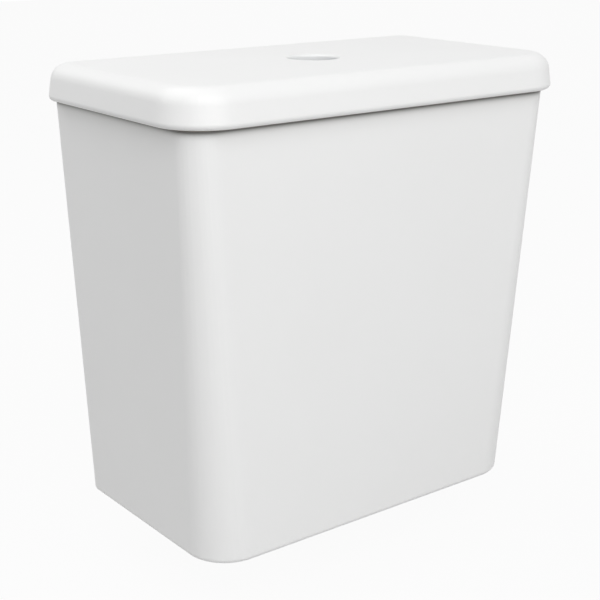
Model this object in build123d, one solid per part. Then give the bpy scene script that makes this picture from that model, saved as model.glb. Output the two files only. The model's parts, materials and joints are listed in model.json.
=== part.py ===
from build123d import *
import math
import os

# Close-coupled toilet cistern in glazed china, with its flush valve, fill valve and fixings.
# Millimetres, +Z up. The origin is the centre of the outlet, on the underside of the tank.
# The front faces -Y, the flat back stands against the wall at +Y, and the water comes in at the right, at +X.
# Each piece is one named node. Fasteners and washers that are alike share a node as separate solids.

# Tank
TANK_BASE_WIDTH = 315.5
TANK_SIDE_FLARE = 16.75
TANK_BASE_DEPTH = 187.3
TANK_FRONT_FLARE = 8.2
TANK_HEIGHT = 333.0
TANK_TOP_CORNER = 22.0
TANK_BASE_CORNER = 35.0
TANK_BACK_CORNER = 9.0
TANK_BASE_EDGE = 5.0
TANK_WALL = 9.0
TANK_FLOOR = 12.0
TANK_INNER_FRONT_CORNER = 20.0
TANK_INNER_BACK_CORNER = 6.0
TANK_FLOOR_CHAMFER = 5.0
RIM_WIDTH = 13.0
RIM_DEPTH = 10.0
OUTLET_AHEAD_OF_MIDDLE = 9.35
WALL_HOLE_RADIUS = 4.5
WALL_HOLE_SPACING = 190.0
WALL_HOLE_BELOW_RIM = 40.0

# Lid
LID_OVERHANG = 11.0
LID_HEIGHT = 28.5
LID_GAP = 1.2
LID_FRONT_CORNER = 40.0
LID_BACK_CORNER = 20.0
LID_TOP_EDGE = 14.0
LID_LOWER_EDGE = 3.9
LID_LEAN_SHARE = 0.15
LID_WALL = 9.5
LID_SEAT_WIDTH = 3.0
LID_CEILING_FILLET = 6.0
LID_LIP_PLAY = 2.5
LID_LIP_THICKNESS = 6.0
LID_LIP_DROP = 7.0
BUTTON_HOLE_RADIUS = 20.0
BUTTON_HOLE_EDGE = 2.5
BUTTON_MOUTH_STEPS = 3
BUTTON_BOSS_WIDTH = 9.0
BUTTON_BOSS_DROP = 3.0
LID_PAD_RADIUS = 4.5

# Outlet, seat and cage of the flush valve
OUTLET_THREAD_RADIUS = 29.8
OUTLET_WALL = 3.8
OUTLET_BELOW_BASE = 34.0
OUTLET_SPIGOT_RADIUS = 28.5
OUTLET_SPIGOT_LENGTH = 9.7
OUTLET_HOLE_PLAY = 2.7
FLANGE_THICKNESS = 3.0
FLANGE_LEDGE = 8.0
SEAT_HEIGHT = 7.0
SEAT_LIP = 2.0
SEAL_LAP = 4.0
SEAL_THICKNESS = 3.0
SEAL_GAP = 0.2
BASE_SEAL_THICKNESS = 4.0
BASE_SEAL_STEP = 2.0
BACK_NUT_THICKNESS = 12.0
BACK_NUT_WIDTH = 9.2
BACK_NUT_LOBES = 8
BACK_NUT_NOTCH = 4.0
DOUGHNUT_WIDTH = 5.0
DOUGHNUT_BELOW_NUT = 11.5
DOUGHNUT_EDGE = 4.0
CAGE_PLAY = 1.8
CAGE_WALL = 2.4
CAGE_RING_HEIGHT = 6.0
CAGE_WINDOW_HEIGHT = 38.0
CAGE_WINDOWS = 6
CAGE_LEG_WIDTH = 8.0
CAGE_TOP_THICKNESS = 3.0
CAGE_BELOW_OVERFLOW = 60.0
BAYONET_LUGS = 3
BAYONET_LUG_WIDTH = 14.0
BAYONET_LUG_HEIGHT = 8.0
BAYONET_LUG_DEPTH = 5.5
BAYONET_TAB_DEPTH = 3.0
BAYONET_TAB_HEIGHT = 4.0

# Overflow tube, its seal and its yoke
OVERFLOW_BELOW_RIM = 83.0
OVERFLOW_RADIUS = 14.0
OVERFLOW_WALL = 1.8
OVERFLOW_FLARE_THICKNESS = 3.0
OVERFLOW_FLARE_PLAY = 2.0
RETAINER_THICKNESS = 3.5
RETAINER_PLAY = 2.5
RETAINER_NOTCHES = 4
YOKE_RING_HEIGHT = 9.0
YOKE_RING_WALL = 3.0
YOKE_BELOW_TOP = 3.0
YOKE_STRAP_THICKNESS = 3.0
YOKE_STRAP_WIDTH = 14.0
YOKE_WINDOW_SIDE = 3.0
YOKE_WINDOW_PLAY = 1.6
YOKE_TOP_BAR = 4.0

# Push mechanism in the head of the flush valve
PUSH_TRAVEL = 8.0
PLUNGER_BELOW_LID = 12.7
PLUNGER_PROUD = 10.0
PLUNGER_SPREAD = 9.0
FULL_PLUNGER_RADIUS = 7.2
HALF_PLUNGER_RADIUS = 5.8
PLUNGER_HEAD_HEIGHT = 16.0
PLUNGER_EDGE = 1.2
PLUNGER_STEM_RADIUS = 3.0
SLIDE_PLAY = 0.3
TURRET_RADIUS = 18.6
TURRET_HEIGHT = 24.0
PLATE_THICKNESS = 4.0
PLATE_DEPTH = 56.0
PLATE_CORNER = 8.0
SKIRT_DEPTH = 12.0
SKIRT_WALL = 2.4
LEG_THICKNESS = 3.0
LEG_WIDTH = 14.0
LEG_IN_SLEEVE = 34.0
LEG_TEETH = 9
LEG_TOOTH_DEPTH = 0.8
SLEEVE_WALL = 2.0
SLEEVE_HEIGHT = 40.0
SPRING_WIRE = 1.0
SPRING_RADIUS = 4.6
SPRING_END_GAP = 0.4
LEVER_ARM = 21.0
LEVER_LOAD_ARM = 22.0
LEVER_PIVOT_X = 5.0
LEVER_Y = 12.0
LEVER_THICKNESS = 5.0
LEVER_WIDTH = 6.0
LEVER_BELOW_PLATE = 25.0
LEVER_TIP = 3.5
LEVER_FOOT_GAP = 0.9
LEVER_PIN_RADIUS = 2.0
LEVER_BOSS_WALL = 2.0
LEVER_EAR_THICKNESS = 2.5
LEVER_EAR_GAP = 0.6
PIN_PLAY = 0.05
FOOT_THICKNESS = 3.5
FOOT_WIDTH = 4.0
FOOT_BELOW_PLATE = 0.5

# Partial flush float on the front of the cage
FLOAT_RAIL_NECK = 6.0
FLOAT_RAIL_HEAD = 12.0
FLOAT_RAIL_STEP = 3.0
FLOAT_PLAY = 0.4
FLOAT_BLOCK_WIDTH = 42.0
FLOAT_BLOCK_DEPTH = 20.0
FLOAT_BLOCK_HEIGHT = 38.0
FLOAT_BLOCK_CORNER = 6.0
FLOAT_BLOCK_WALL = 1.6
FLOAT_ABOVE_WINDOWS = 12.0

# Fill valve
INLET_FROM_END = 46.0
INLET_FROM_BACK = 83.0
INLET_THREAD_RADIUS = 10.48
INLET_NECK_RADIUS = 10.0
INLET_NECK_LENGTH = 1.5
INLET_BORE_RADIUS = 6.0
INLET_BELOW_BASE = 40.0
INLET_HOLE_PLAY = 1.5
INLET_FLANGE_RADIUS = 17.0
INLET_FLANGE_THICKNESS = 4.0
INLET_SEAL_THICKNESS = 4.0
LOCK_NUT_FLATS = 32.0
LOCK_NUT_THICKNESS = 9.0
LOCK_NUT_FLANGE_RADIUS = 18.0
LOCK_NUT_FLANGE_THICKNESS = 2.5
INNER_PIPE_RADIUS = 9.0
INNER_PIPE_LAP = 60.0
RISER_PLAY = 0.2
RISER_WALL = 3.0
RISER_FOOT_SHARE = 0.23
LOCK_RING_WALL = 3.5
LOCK_RING_HEIGHT = 12.0
LOCK_RING_NOTCHES = 10
HEAD_BELOW_RIM = 118.0
HEAD_RADIUS = 20.0
HEAD_HEIGHT = 28.0
DIAPHRAGM_THICKNESS = 1.6
CAP_HEIGHT = 12.0
CAP_RADIUS_STEP = 1.0
CAP_NOTCHES = 12
GRIP_NOTCH = 1.6
NIPPLE_RADIUS = 2.6
NIPPLE_LENGTH = 12.0
NIPPLE_BORE = 1.4
NIPPLE_BELOW_TOP = 12.0
FILTER_RADIUS_PLAY = 0.3
FILTER_LENGTH = 22.0
FILTER_WALL = 1.0

# Float cup, arm and level screw of the fill valve
CUP_RADIUS = 30.0
CUP_HEIGHT = 55.0
CUP_WALL = 2.0
CUP_BORE_PLAY = 2.0
CUP_BELOW_HEAD = 42.0
ARM_PIVOT_OFFSET = 9.0
ARM_LENGTH = 28.0
ARM_THICKNESS = 4.0
ARM_WIDTH = 9.0
ARM_NUB_RADIUS = 2.5
ARM_NUB_HEIGHT = 1.5
ARM_NUB_LIFT = 4.2
ARM_END = 9.0
ARM_SLOT_LENGTH = 12.0
ARM_PIN_RADIUS = 1.5
ARM_BOSS_WALL = 1.8
ARM_EAR_THICKNESS = 2.5
ARM_EAR_GAP = 0.6
SCREW_RADIUS = 2.4
SCREW_SLOT_PLAY = 0.5
SCREW_HEAD_RADIUS = 5.5
SCREW_HEAD_HEIGHT = 5.0
SCREW_HEAD_NOTCHES = 6
SCREW_COLLAR_HEIGHT = 2.5
SCREW_ARM_GAP = 2.6
SCREW_BELOW_LUG = 8.0
LUG_THICKNESS = 10.0
LUG_WIDTH = 12.0
LUG_BELOW_CUP_TOP = 3.0
LUG_PAST_SCREW = 6.0

# Refill tube and its clip
REFILL_RADIUS = 3.6
REFILL_BEND_SHARE = 1.1
CLIP_ABOVE_OVERFLOW = 21.0
CLIP_WALL = 2.0
CLIP_HEIGHT = 12.0
SPOUT_RADIUS = 3.2
SPOUT_CLEARANCE = 3.0
SPOUT_INSIDE_SHARE = 0.4
BARB_LENGTH = 9.0

# Bolts to the pan
BOLT_OUTWARD = 5.525
BOLT_RADIUS = 4.0
BOLT_HOLE_RADIUS = 5.5
BOLT_BELOW_BASE = 50.0
BOLT_HEAD_RADIUS = 9.0
BOLT_HEAD_HEIGHT = 5.5
BOLT_SLOT_WIDTH = 1.6
BOLT_SLOT_DEPTH = 2.0
BOLT_SEAL_RADIUS = 12.0
BOLT_SEAL_THICKNESS = 3.5
BOLT_WASHER_RADIUS = 10.0
BOLT_WASHER_THICKNESS = 1.5
BOLT_NUT_FLATS = 13.0
BOLT_NUT_THICKNESS = 6.5
BOLT_PLAY = 0.2
BOLT_NECK_RADIUS = 3.4
BOLT_NECK_LENGTH = 1.5

# Plug in the unused left-hand inlet hole
PLUG_HEAD_RADIUS = 17.0
PLUG_HEAD_THICKNESS = 4.0
PLUG_STEM_RADIUS = 10.0
PLUG_BELOW_BASE = 11.0
PLUG_SEAL_THICKNESS = 3.0
PLUG_NUT_RADIUS = 17.0
PLUG_NUT_THICKNESS = 7.0
PLUG_NUT_NOTCHES = 6
PLUG_NUT_NOTCH = 3.0

# One overrun serves every cut
OVERRUN = 1.0

# Tank faces and the lid's seat
TANK_TOP_WIDTH = TANK_BASE_WIDTH + 2 * TANK_SIDE_FLARE
TANK_TOP_DEPTH = TANK_BASE_DEPTH + TANK_FRONT_FLARE
BACK = TANK_BASE_DEPTH / 2 + OUTLET_AHEAD_OF_MIDDLE
RIM = TANK_HEIGHT
LID_UNDER = RIM + LID_GAP
LID_TOP = LID_UNDER + LID_HEIGHT
LID_HALF_WIDTH = TANK_TOP_WIDTH / 2 + LID_OVERHANG
LID_FRONT = BACK - TANK_TOP_DEPTH - LID_OVERHANG

# Seat of the flush valve
OUTLET_BORE = OUTLET_THREAD_RADIUS - OUTLET_WALL
FLANGE_UNDER = TANK_FLOOR + BASE_SEAL_THICKNESS
FLANGE_TOP = FLANGE_UNDER + FLANGE_THICKNESS
SEAT_TOP = FLANGE_TOP + SEAT_HEIGHT
SEAT_RADIUS = OUTLET_BORE + SEAT_LIP
SEAL_RADIUS = SEAT_RADIUS + SEAL_LAP
CAGE_INNER = SEAL_RADIUS + CAGE_PLAY
CAGE_OUTER = CAGE_INNER + CAGE_WALL
FLANGE_RADIUS = CAGE_OUTER + FLANGE_LEDGE
BACK_NUT_RADIUS = OUTLET_THREAD_RADIUS + BACK_NUT_WIDTH
DOUGHNUT_RADIUS = BACK_NUT_RADIUS + DOUGHNUT_WIDTH

# Column of the flush valve
OVERFLOW_TOP = RIM - OVERFLOW_BELOW_RIM
CAGE_TOP = OVERFLOW_TOP - CAGE_BELOW_OVERFLOW
CAGE_WINDOW_LOW = FLANGE_TOP + CAGE_RING_HEIGHT
CAGE_WINDOW_HIGH = CAGE_WINDOW_LOW + CAGE_WINDOW_HEIGHT
SEAL_UNDER = SEAT_TOP + SEAL_GAP
SEAL_TOP = SEAL_UNDER + SEAL_THICKNESS
FLARE_TOP = SEAL_TOP + OVERFLOW_FLARE_THICKNESS

# Head of the flush valve
PLUNGER_TOP = LID_TOP - PLUNGER_BELOW_LID
TURRET_TOP = PLUNGER_TOP - PLUNGER_PROUD
PLATE_TOP = TURRET_TOP - TURRET_HEIGHT
PLATE_UNDER = PLATE_TOP - PLATE_THICKNESS
PLUNGER_SHOULDER = PLUNGER_TOP - PLUNGER_HEAD_HEIGHT
LEVER_TOP = PLATE_UNDER - LEVER_BELOW_PLATE
LEVER_MIDDLE = LEVER_TOP - LEVER_THICKNESS / 2
FOOT_TOP = PLATE_UNDER - FOOT_BELOW_PLATE
LEG_X = CAGE_OUTER + SLEEVE_WALL + SLIDE_PLAY + LEG_THICKNESS / 2
PLATE_HALF_WIDTH = LEG_X + LEG_THICKNESS / 2
LEG_FOOT = CAGE_TOP - LEG_IN_SLEEVE
LEVER_LOAD_X = LEVER_PIVOT_X - LEVER_LOAD_ARM

# Fill valve
FILL_X = TANK_BASE_WIDTH / 2 - INLET_FROM_END
FILL_Y = BACK - INLET_FROM_BACK
INLET_FLANGE_UNDER = TANK_FLOOR + INLET_SEAL_THICKNESS
INLET_FLANGE_TOP = INLET_FLANGE_UNDER + INLET_FLANGE_THICKNESS
HEAD_UNDER = RIM - HEAD_BELOW_RIM
HEAD_TOP = HEAD_UNDER + HEAD_HEIGHT
CAP_UNDER = HEAD_TOP + DIAPHRAGM_THICKNESS
CAP_TOP = CAP_UNDER + CAP_HEIGHT
RISER_INNER = INNER_PIPE_RADIUS + RISER_PLAY
RISER_OUTER = RISER_INNER + RISER_WALL
RISER_UNDER = INLET_FLANGE_TOP + RISER_FOOT_SHARE * (HEAD_UNDER - INLET_FLANGE_TOP)
CUP_TOP = HEAD_UNDER - CUP_BELOW_HEAD
ARM_PIVOT_Y = FILL_Y - ARM_PIVOT_OFFSET
SCREW_Y = ARM_PIVOT_Y - ARM_LENGTH
ARM_UNDER = CAP_TOP + ARM_NUB_LIFT + ARM_NUB_HEIGHT
ARM_MIDDLE = ARM_UNDER + ARM_THICKNESS / 2
NIPPLE_Z = HEAD_TOP - NIPPLE_BELOW_TOP
CLIP_Z = OVERFLOW_TOP + CLIP_ABOVE_OVERFLOW

# Coupling bolts, between the flush valve's flange and the inlet's, a little outward
BOLT_X = (FLANGE_RADIUS + FILL_X - INLET_FLANGE_RADIUS) / 2 + BOLT_OUTWARD
BOLT_NECK_TOP = -BOLT_WASHER_THICKNESS - BOLT_NUT_THICKNESS

os.makedirs("parts", exist_ok=True)


def rod(radius, low, high, x=0, y=0):
    """Upright cylinder between two heights."""
    upright = (Align.CENTER, Align.CENTER, Align.MIN)
    return Pos(x, y, low) * Cylinder(radius, high - low, align=upright)


def ring(outer, inner, low, high, x=0, y=0):
    """Upright tube between two heights."""
    return rod(outer, low, high, x, y) - rod(inner, low - OVERRUN, high + OVERRUN, x, y)


def block(x_low, x_high, y_low, y_high, z_low, z_high):
    """Box between two corners."""
    corner = (Align.MIN, Align.MIN, Align.MIN)
    solid = Box(x_high - x_low, y_high - y_low, z_high - z_low, align=corner)
    return Pos(x_low, y_low, z_low) * solid


def cross_rod(radius, y_low, y_high, x, z):
    """Cylinder along Y between two faces."""
    return Pos(x, y_high, z) * Rot(90, 0, 0) * rod(radius, 0, y_high - y_low)


def side_rod(radius, x_low, x_high, y, z):
    """Cylinder along X between two faces."""
    return Pos(x_low, y, z) * Rot(0, 90, 0) * rod(radius, 0, x_high - x_low)


def turned(points, x=0, y=0):
    """Solid of revolution about an upright axis, from (radius, height) points."""
    outline = make_face(Polyline([(radius, 0, height) for radius, height in points], close=True))
    return Pos(x, y, 0) * revolve(outline, Axis.Z)


def hexagon(flats, low, high, x=0, y=0):
    """Upright hexagonal prism of the given width across its flats."""
    outline = RegularPolygon(flats / math.sqrt(3), 6)
    return Pos(x, y, low) * extrude(outline, high - low)


def notches(count, width, radius, low, high, x=0, y=0):
    """Square grip notches round an upright edge, each half as deep as it is wide."""
    cut = block(radius - width / 2, radius + width, -width / 2, width / 2, low, high)
    return [Pos(x, y, 0) * Rot(0, 0, 360 * index / count) * cut for index in range(count)]


def turned_half(shape):
    """The same shape half a turn round the outlet's axis."""
    return Rot(0, 0, 180) * shape


def rounded_outline(half_width, front, back, front_corner, back_corner, height):
    """Face with two front corners and two back corners, each pair of one radius."""
    left, right = -half_width, half_width
    runs = [
        Line((left + front_corner, front), (right - front_corner, front)),
        CenterArc((right - front_corner, front + front_corner), front_corner, 270, 90),
        Line((right, front + front_corner), (right, back - back_corner)),
        CenterArc((right - back_corner, back - back_corner), back_corner, 0, 90),
        Line((right - back_corner, back), (left + back_corner, back)),
        CenterArc((left + back_corner, back - back_corner), back_corner, 90, 90),
        Line((left, back - back_corner), (left, front + front_corner)),
        CenterArc((left + front_corner, front + front_corner), front_corner, 180, 90),
    ]
    return Pos(0, 0, height) * make_face(runs)


def tapered_block(low_half, low_front, low, high_half, high_front, high, back):
    """Block with an upright back and other sides that lean from one height to another."""
    spread = high_half - low_half
    solid = Wedge(
        2 * low_half,
        high - low,
        back - low_front,
        -spread,
        0,
        2 * low_half + spread,
        back - high_front,
        align=(Align.CENTER, Align.MIN, Align.MIN),
    )
    return Pos(0, back, low) * Rot(90, 0, 0) * solid


def upright_edges(solid):
    """Edges that run up a solid, from its front to its back."""
    return solid.edges().filter_by(lambda edge: abs((edge % 0.5).Z) > 0.5).sort_by(Axis.Y)


def bottom_edges(solid):
    return solid.faces().sort_by(Axis.Z)[0].outer_wire().edges()


def top_edges(solid):
    return solid.faces().sort_by(Axis.Z)[-1].outer_wire().edges()


def tank_half_width(height):
    """Half the tank's outer width at a height."""
    share = height / TANK_HEIGHT
    return (TANK_BASE_WIDTH + (TANK_TOP_WIDTH - TANK_BASE_WIDTH) * share) / 2


def tank_front(height):
    """Where the tank's front face is at a height."""
    share = height / TANK_HEIGHT
    return BACK - TANK_BASE_DEPTH - (TANK_TOP_DEPTH - TANK_BASE_DEPTH) * share


def tank_block(low, high, inset):
    """The tank's tapered form between two heights, moved in by an inset on all sides."""
    return tapered_block(
        tank_half_width(low) - inset,
        tank_front(low) + inset,
        low,
        tank_half_width(high) - inset,
        tank_front(high) + inset,
        high,
        BACK - inset,
    )


def mouth_outline(inset):
    """The opening inside the tank's rim, moved in by an inset."""
    inset += RIM_WIDTH
    front_corner = TANK_TOP_CORNER - RIM_WIDTH / 2
    half_width = tank_half_width(RIM) - inset
    front = tank_front(RIM) + inset
    return rounded_outline(half_width, front, BACK - inset, front_corner, TANK_INNER_BACK_CORNER, RIM)


def corner_waste():
    """What the tank's right front corner loses: all that is outside a cone touching both faces.

    The cone's axis leans with the corner, and its tip is where the corner's radius would shrink to nothing.
    """
    tip_height = TANK_HEIGHT * TANK_BASE_CORNER / (TANK_BASE_CORNER - TANK_TOP_CORNER)
    tip = Vector(tank_half_width(tip_height), tank_front(tip_height), tip_height)
    side_lean = math.atan((tank_half_width(RIM) - tank_half_width(0)) / TANK_HEIGHT)
    front_lean = math.atan((tank_front(0) - tank_front(RIM)) / TANK_HEIGHT)
    centre = Vector(
        tank_half_width(0) - TANK_BASE_CORNER / math.cos(side_lean),
        tank_front(0) + TANK_BASE_CORNER / math.cos(front_lean),
        0,
    )
    to_side = 2 * TANK_BASE_CORNER * Vector(math.cos(side_lean), 0, -math.sin(side_lean))
    to_front = 2 * TANK_BASE_CORNER * Vector(0, -math.cos(front_lean), -math.sin(front_lean))
    floor = -4 * TANK_BASE_CORNER
    corners = []
    for point in (centre, centre + to_side, centre + to_side + to_front, centre + to_front):
        share = (tip_height - floor) / (tip_height - point.Z)
        corners.append(tip + (point - tip) * share)
    waste = loft([make_face(Polyline(corners, close=True)), Vertex(*tip)], ruled=True)
    axis = tip - centre
    stretch = (tip_height - floor) / tip_height
    foot_radius = stretch * TANK_BASE_CORNER / math.sqrt(1 - (TANK_BASE_CORNER / axis.length) ** 2)
    cone = Cone(foot_radius, 0, stretch * axis.length, align=(Align.CENTER, Align.CENTER, Align.MIN))
    return waste - Plane(origin=tip - stretch * axis, z_dir=axis) * cone


def cistern_tank():
    waste = corner_waste()
    outside = tank_block(0, RIM, 0) - waste - mirror(waste, Plane.YZ)
    outside = fillet(upright_edges(outside)[-2:], TANK_BACK_CORNER)
    outside = fillet(bottom_edges(outside), TANK_BASE_EDGE)
    cavity = tank_block(TANK_FLOOR, RIM - RIM_DEPTH, TANK_WALL)
    cavity = fillet(upright_edges(cavity)[:2], TANK_INNER_FRONT_CORNER)
    cavity = fillet(upright_edges(cavity)[-2:], TANK_INNER_BACK_CORNER)
    cavity = chamfer(bottom_edges(cavity), TANK_FLOOR_CHAMFER)
    mouth = extrude(mouth_outline(0), RIM_DEPTH + OVERRUN, dir=(0, 0, -1))
    mouth += extrude(mouth_outline(0), OVERRUN)
    tank = outside - cavity - mouth
    tank -= rod(OUTLET_THREAD_RADIUS + OUTLET_HOLE_PLAY, -OVERRUN, TANK_FLOOR + OVERRUN)
    for side in (-1, 1):
        tank -= rod(BOLT_HOLE_RADIUS, -OVERRUN, TANK_FLOOR + OVERRUN, side * BOLT_X)
        inlet_hole = INLET_THREAD_RADIUS + INLET_HOLE_PLAY
        tank -= rod(inlet_hole, -OVERRUN, TANK_FLOOR + OVERRUN, side * FILL_X, FILL_Y)
        tank -= cross_rod(
            WALL_HOLE_RADIUS,
            BACK - TANK_WALL - OVERRUN,
            BACK + OVERRUN,
            side * WALL_HOLE_SPACING / 2,
            RIM - WALL_HOLE_BELOW_RIM,
        )
    return tank


def button_mouth():
    """Outline of the button hole, from the axis out, with a mouth rounded in short steps."""
    points = [(0, LID_UNDER), (BUTTON_HOLE_RADIUS, LID_UNDER)]
    for index in range(BUTTON_MOUTH_STEPS + 1):
        angle = math.pi / 2 * index / BUTTON_MOUTH_STEPS
        radius = BUTTON_HOLE_RADIUS + BUTTON_HOLE_EDGE * (1 - math.cos(angle))
        points.append((radius, LID_TOP - BUTTON_HOLE_EDGE * (1 - math.sin(angle))))
    edge = BUTTON_HOLE_RADIUS + BUTTON_HOLE_EDGE
    return points + [(edge, LID_TOP + OVERRUN), (0, LID_TOP + OVERRUN)]


def cistern_lid():
    """Cover that leans in towards its top, hollow below, with a lip inside the tank's mouth."""
    outline = rounded_outline(LID_HALF_WIDTH, LID_FRONT, BACK, LID_FRONT_CORNER, LID_BACK_CORNER, LID_UNDER)
    lid = extrude(outline, LID_HEIGHT, taper=math.degrees(math.atan(LID_LEAN_SHARE)))
    lid = fillet(top_edges(lid), LID_TOP_EDGE)
    lid = fillet(bottom_edges(lid), LID_LOWER_EDGE)
    to_underside = Pos(0, 0, LID_GAP)
    hollow = extrude(to_underside * mouth_outline(LID_SEAT_WIDTH + LID_LIP_THICKNESS), LID_HEIGHT - LID_WALL)
    hollow = fillet(top_edges(hollow), LID_CEILING_FILLET)
    boss_under = LID_TOP - LID_WALL - BUTTON_BOSS_DROP
    hollow -= rod(BUTTON_HOLE_RADIUS + BUTTON_BOSS_WIDTH, boss_under, LID_TOP)
    lip_under = Pos(0, 0, LID_GAP - LID_LIP_DROP)
    lip = extrude(lip_under * mouth_outline(LID_LIP_PLAY), LID_LIP_DROP)
    lip -= extrude(lip_under * mouth_outline(LID_LIP_PLAY + LID_LIP_THICKNESS), LID_LIP_DROP)
    lid = lid - hollow + lip
    return lid - turned(button_mouth())


def lid_pads():
    """Thin soft pads on the rim, near its corners, that the lid stands on."""
    x = TANK_TOP_WIDTH / 2 - TANK_BASE_CORNER
    front = tank_front(RIM) + RIM_WIDTH / 2
    back = BACK - RIM_WIDTH / 2
    return [rod(LID_PAD_RADIUS, RIM, LID_UNDER, side * x, y) for side in (-1, 1) for y in (front, back)]


def flush_valve_base():
    """Flange, threaded tail with a bore, raised seat lip and the lugs that hold the cage."""
    thread_low = -OUTLET_BELOW_BASE + OUTLET_SPIGOT_LENGTH
    base = rod(OUTLET_THREAD_RADIUS, thread_low, FLANGE_TOP)
    base += rod(OUTLET_SPIGOT_RADIUS, -OUTLET_BELOW_BASE, thread_low)
    base += rod(FLANGE_RADIUS, FLANGE_UNDER, FLANGE_TOP)
    base += turned(
        [
            (OUTLET_BORE - SEAT_LIP, FLANGE_TOP),
            (SEAT_RADIUS + SEAT_LIP, FLANGE_TOP),
            (SEAT_RADIUS, SEAT_TOP),
            (OUTLET_BORE - SEAT_LIP, SEAT_TOP),
        ]
    )
    base -= rod(OUTLET_BORE, -OUTLET_BELOW_BASE - OVERRUN, SEAT_TOP + OVERRUN)
    lug_in = CAGE_OUTER + SLIDE_PLAY
    half = BAYONET_LUG_WIDTH / 2
    lug_top = FLANGE_TOP + BAYONET_LUG_HEIGHT
    tab_out = lug_in + BAYONET_TAB_DEPTH + SLIDE_PLAY
    tab_top = FLANGE_TOP + BAYONET_TAB_HEIGHT + SLIDE_PLAY
    lug = block(lug_in, lug_in + BAYONET_LUG_DEPTH, -half, half, FLANGE_TOP, lug_top)
    lug -= block(lug_in, tab_out, -half, half, FLANGE_TOP, tab_top)
    for index in range(BAYONET_LUGS):
        base += Rot(0, 0, 60 + 360 * index / BAYONET_LUGS) * lug
    return base


def base_seal_washer():
    """Thick rubber washer between the flange and the tank's floor."""
    inner = OUTLET_THREAD_RADIUS + SLIDE_PLAY
    return ring(FLANGE_RADIUS - BASE_SEAL_STEP, inner, TANK_FLOOR, FLANGE_UNDER)


def flush_back_nut():
    """Lobed nut under the tank that pulls the flange down."""
    nut = ring(BACK_NUT_RADIUS, OUTLET_THREAD_RADIUS + PIN_PLAY, -BACK_NUT_THICKNESS, 0)
    low = -BACK_NUT_THICKNESS - OVERRUN
    return nut - notches(BACK_NUT_LOBES, BACK_NUT_NOTCH, BACK_NUT_RADIUS, low, -BACK_NUT_NOTCH)


def doughnut_washer():
    """Soft washer that fits over the back nut and seals to the pan."""
    shelf = -BACK_NUT_THICKNESS - SLIDE_PLAY
    recess = BACK_NUT_RADIUS + SLIDE_PLAY
    inner = OUTLET_THREAD_RADIUS + SLIDE_PLAY
    washer = ring(DOUGHNUT_RADIUS, inner, shelf - DOUGHNUT_BELOW_NUT, -DOUGHNUT_EDGE)
    return washer - rod(recess, shelf, OVERRUN)


def float_rail():
    """T-shaped rail on the front of the cage for the partial flush float."""
    low = CAGE_WINDOW_HIGH
    neck_half, head_half = FLOAT_RAIL_NECK / 2, FLOAT_RAIL_HEAD / 2
    neck_front = -CAGE_OUTER - FLOAT_RAIL_STEP
    neck = block(-neck_half, neck_half, neck_front, -CAGE_INNER - CAGE_WALL / 2, low, CAGE_TOP)
    head = block(-head_half, head_half, neck_front - FLOAT_RAIL_STEP, neck_front, low, CAGE_TOP)
    stop_front = neck_front - FLOAT_RAIL_STEP * 2
    stop_low = CAGE_WINDOW_HIGH + FLOAT_ABOVE_WINDOWS - FLOAT_RAIL_STEP - FLOAT_PLAY
    stop = block(-head_half, head_half, stop_front, neck_front, stop_low, stop_low + FLOAT_RAIL_STEP)
    return neck + head + stop


def leg_sleeve():
    """Sleeve on the right of the cage that a leg of the bridge slides down."""
    outer_x = LEG_X + LEG_THICKNESS / 2 + SLIDE_PLAY + SLEEVE_WALL
    half = LEG_WIDTH / 2 + SLIDE_PLAY
    outside_half = half + SLEEVE_WALL
    low = CAGE_TOP - SLEEVE_HEIGHT
    sleeve = block(CAGE_INNER + CAGE_WALL / 2, outer_x, -outside_half, outside_half, low, CAGE_TOP)
    inner_x = LEG_X - LEG_THICKNESS / 2 - SLIDE_PLAY
    slot = block(inner_x, outer_x - SLEEVE_WALL, -half, half, low + SLEEVE_WALL, CAGE_TOP + OVERRUN)
    return sleeve - slot - rod(CAGE_INNER, low - OVERRUN, CAGE_TOP + OVERRUN)


def flush_valve_cage():
    """Column with water windows below, a guide for the overflow tube on top and sleeves at its sides."""
    cage = ring(CAGE_OUTER, CAGE_INNER, FLANGE_TOP, CAGE_TOP)
    cage += ring(CAGE_OUTER, OVERFLOW_RADIUS + SLIDE_PLAY, CAGE_TOP - CAGE_TOP_THICKNESS, CAGE_TOP)
    window_width = 2 * math.pi * CAGE_OUTER / CAGE_WINDOWS - CAGE_LEG_WIDTH
    for index in range(CAGE_WINDOWS):
        window = block(
            OVERFLOW_RADIUS,
            CAGE_OUTER + OVERRUN,
            -window_width / 2,
            window_width / 2,
            CAGE_WINDOW_LOW,
            CAGE_WINDOW_HIGH,
        )
        cage -= Rot(0, 0, 360 * index / CAGE_WINDOWS) * window
    half = BAYONET_LUG_WIDTH / 2
    tab_in, tab_out = CAGE_INNER + CAGE_WALL / 2, CAGE_OUTER + BAYONET_TAB_DEPTH
    tab = block(tab_in, tab_out, -half, half, FLANGE_TOP, FLANGE_TOP + BAYONET_TAB_HEIGHT)
    for index in range(BAYONET_LUGS):
        cage += Rot(0, 0, 60 + 360 * index / BAYONET_LUGS) * tab
    sleeve = leg_sleeve()
    return cage + sleeve + turned_half(sleeve) + float_rail()


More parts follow.
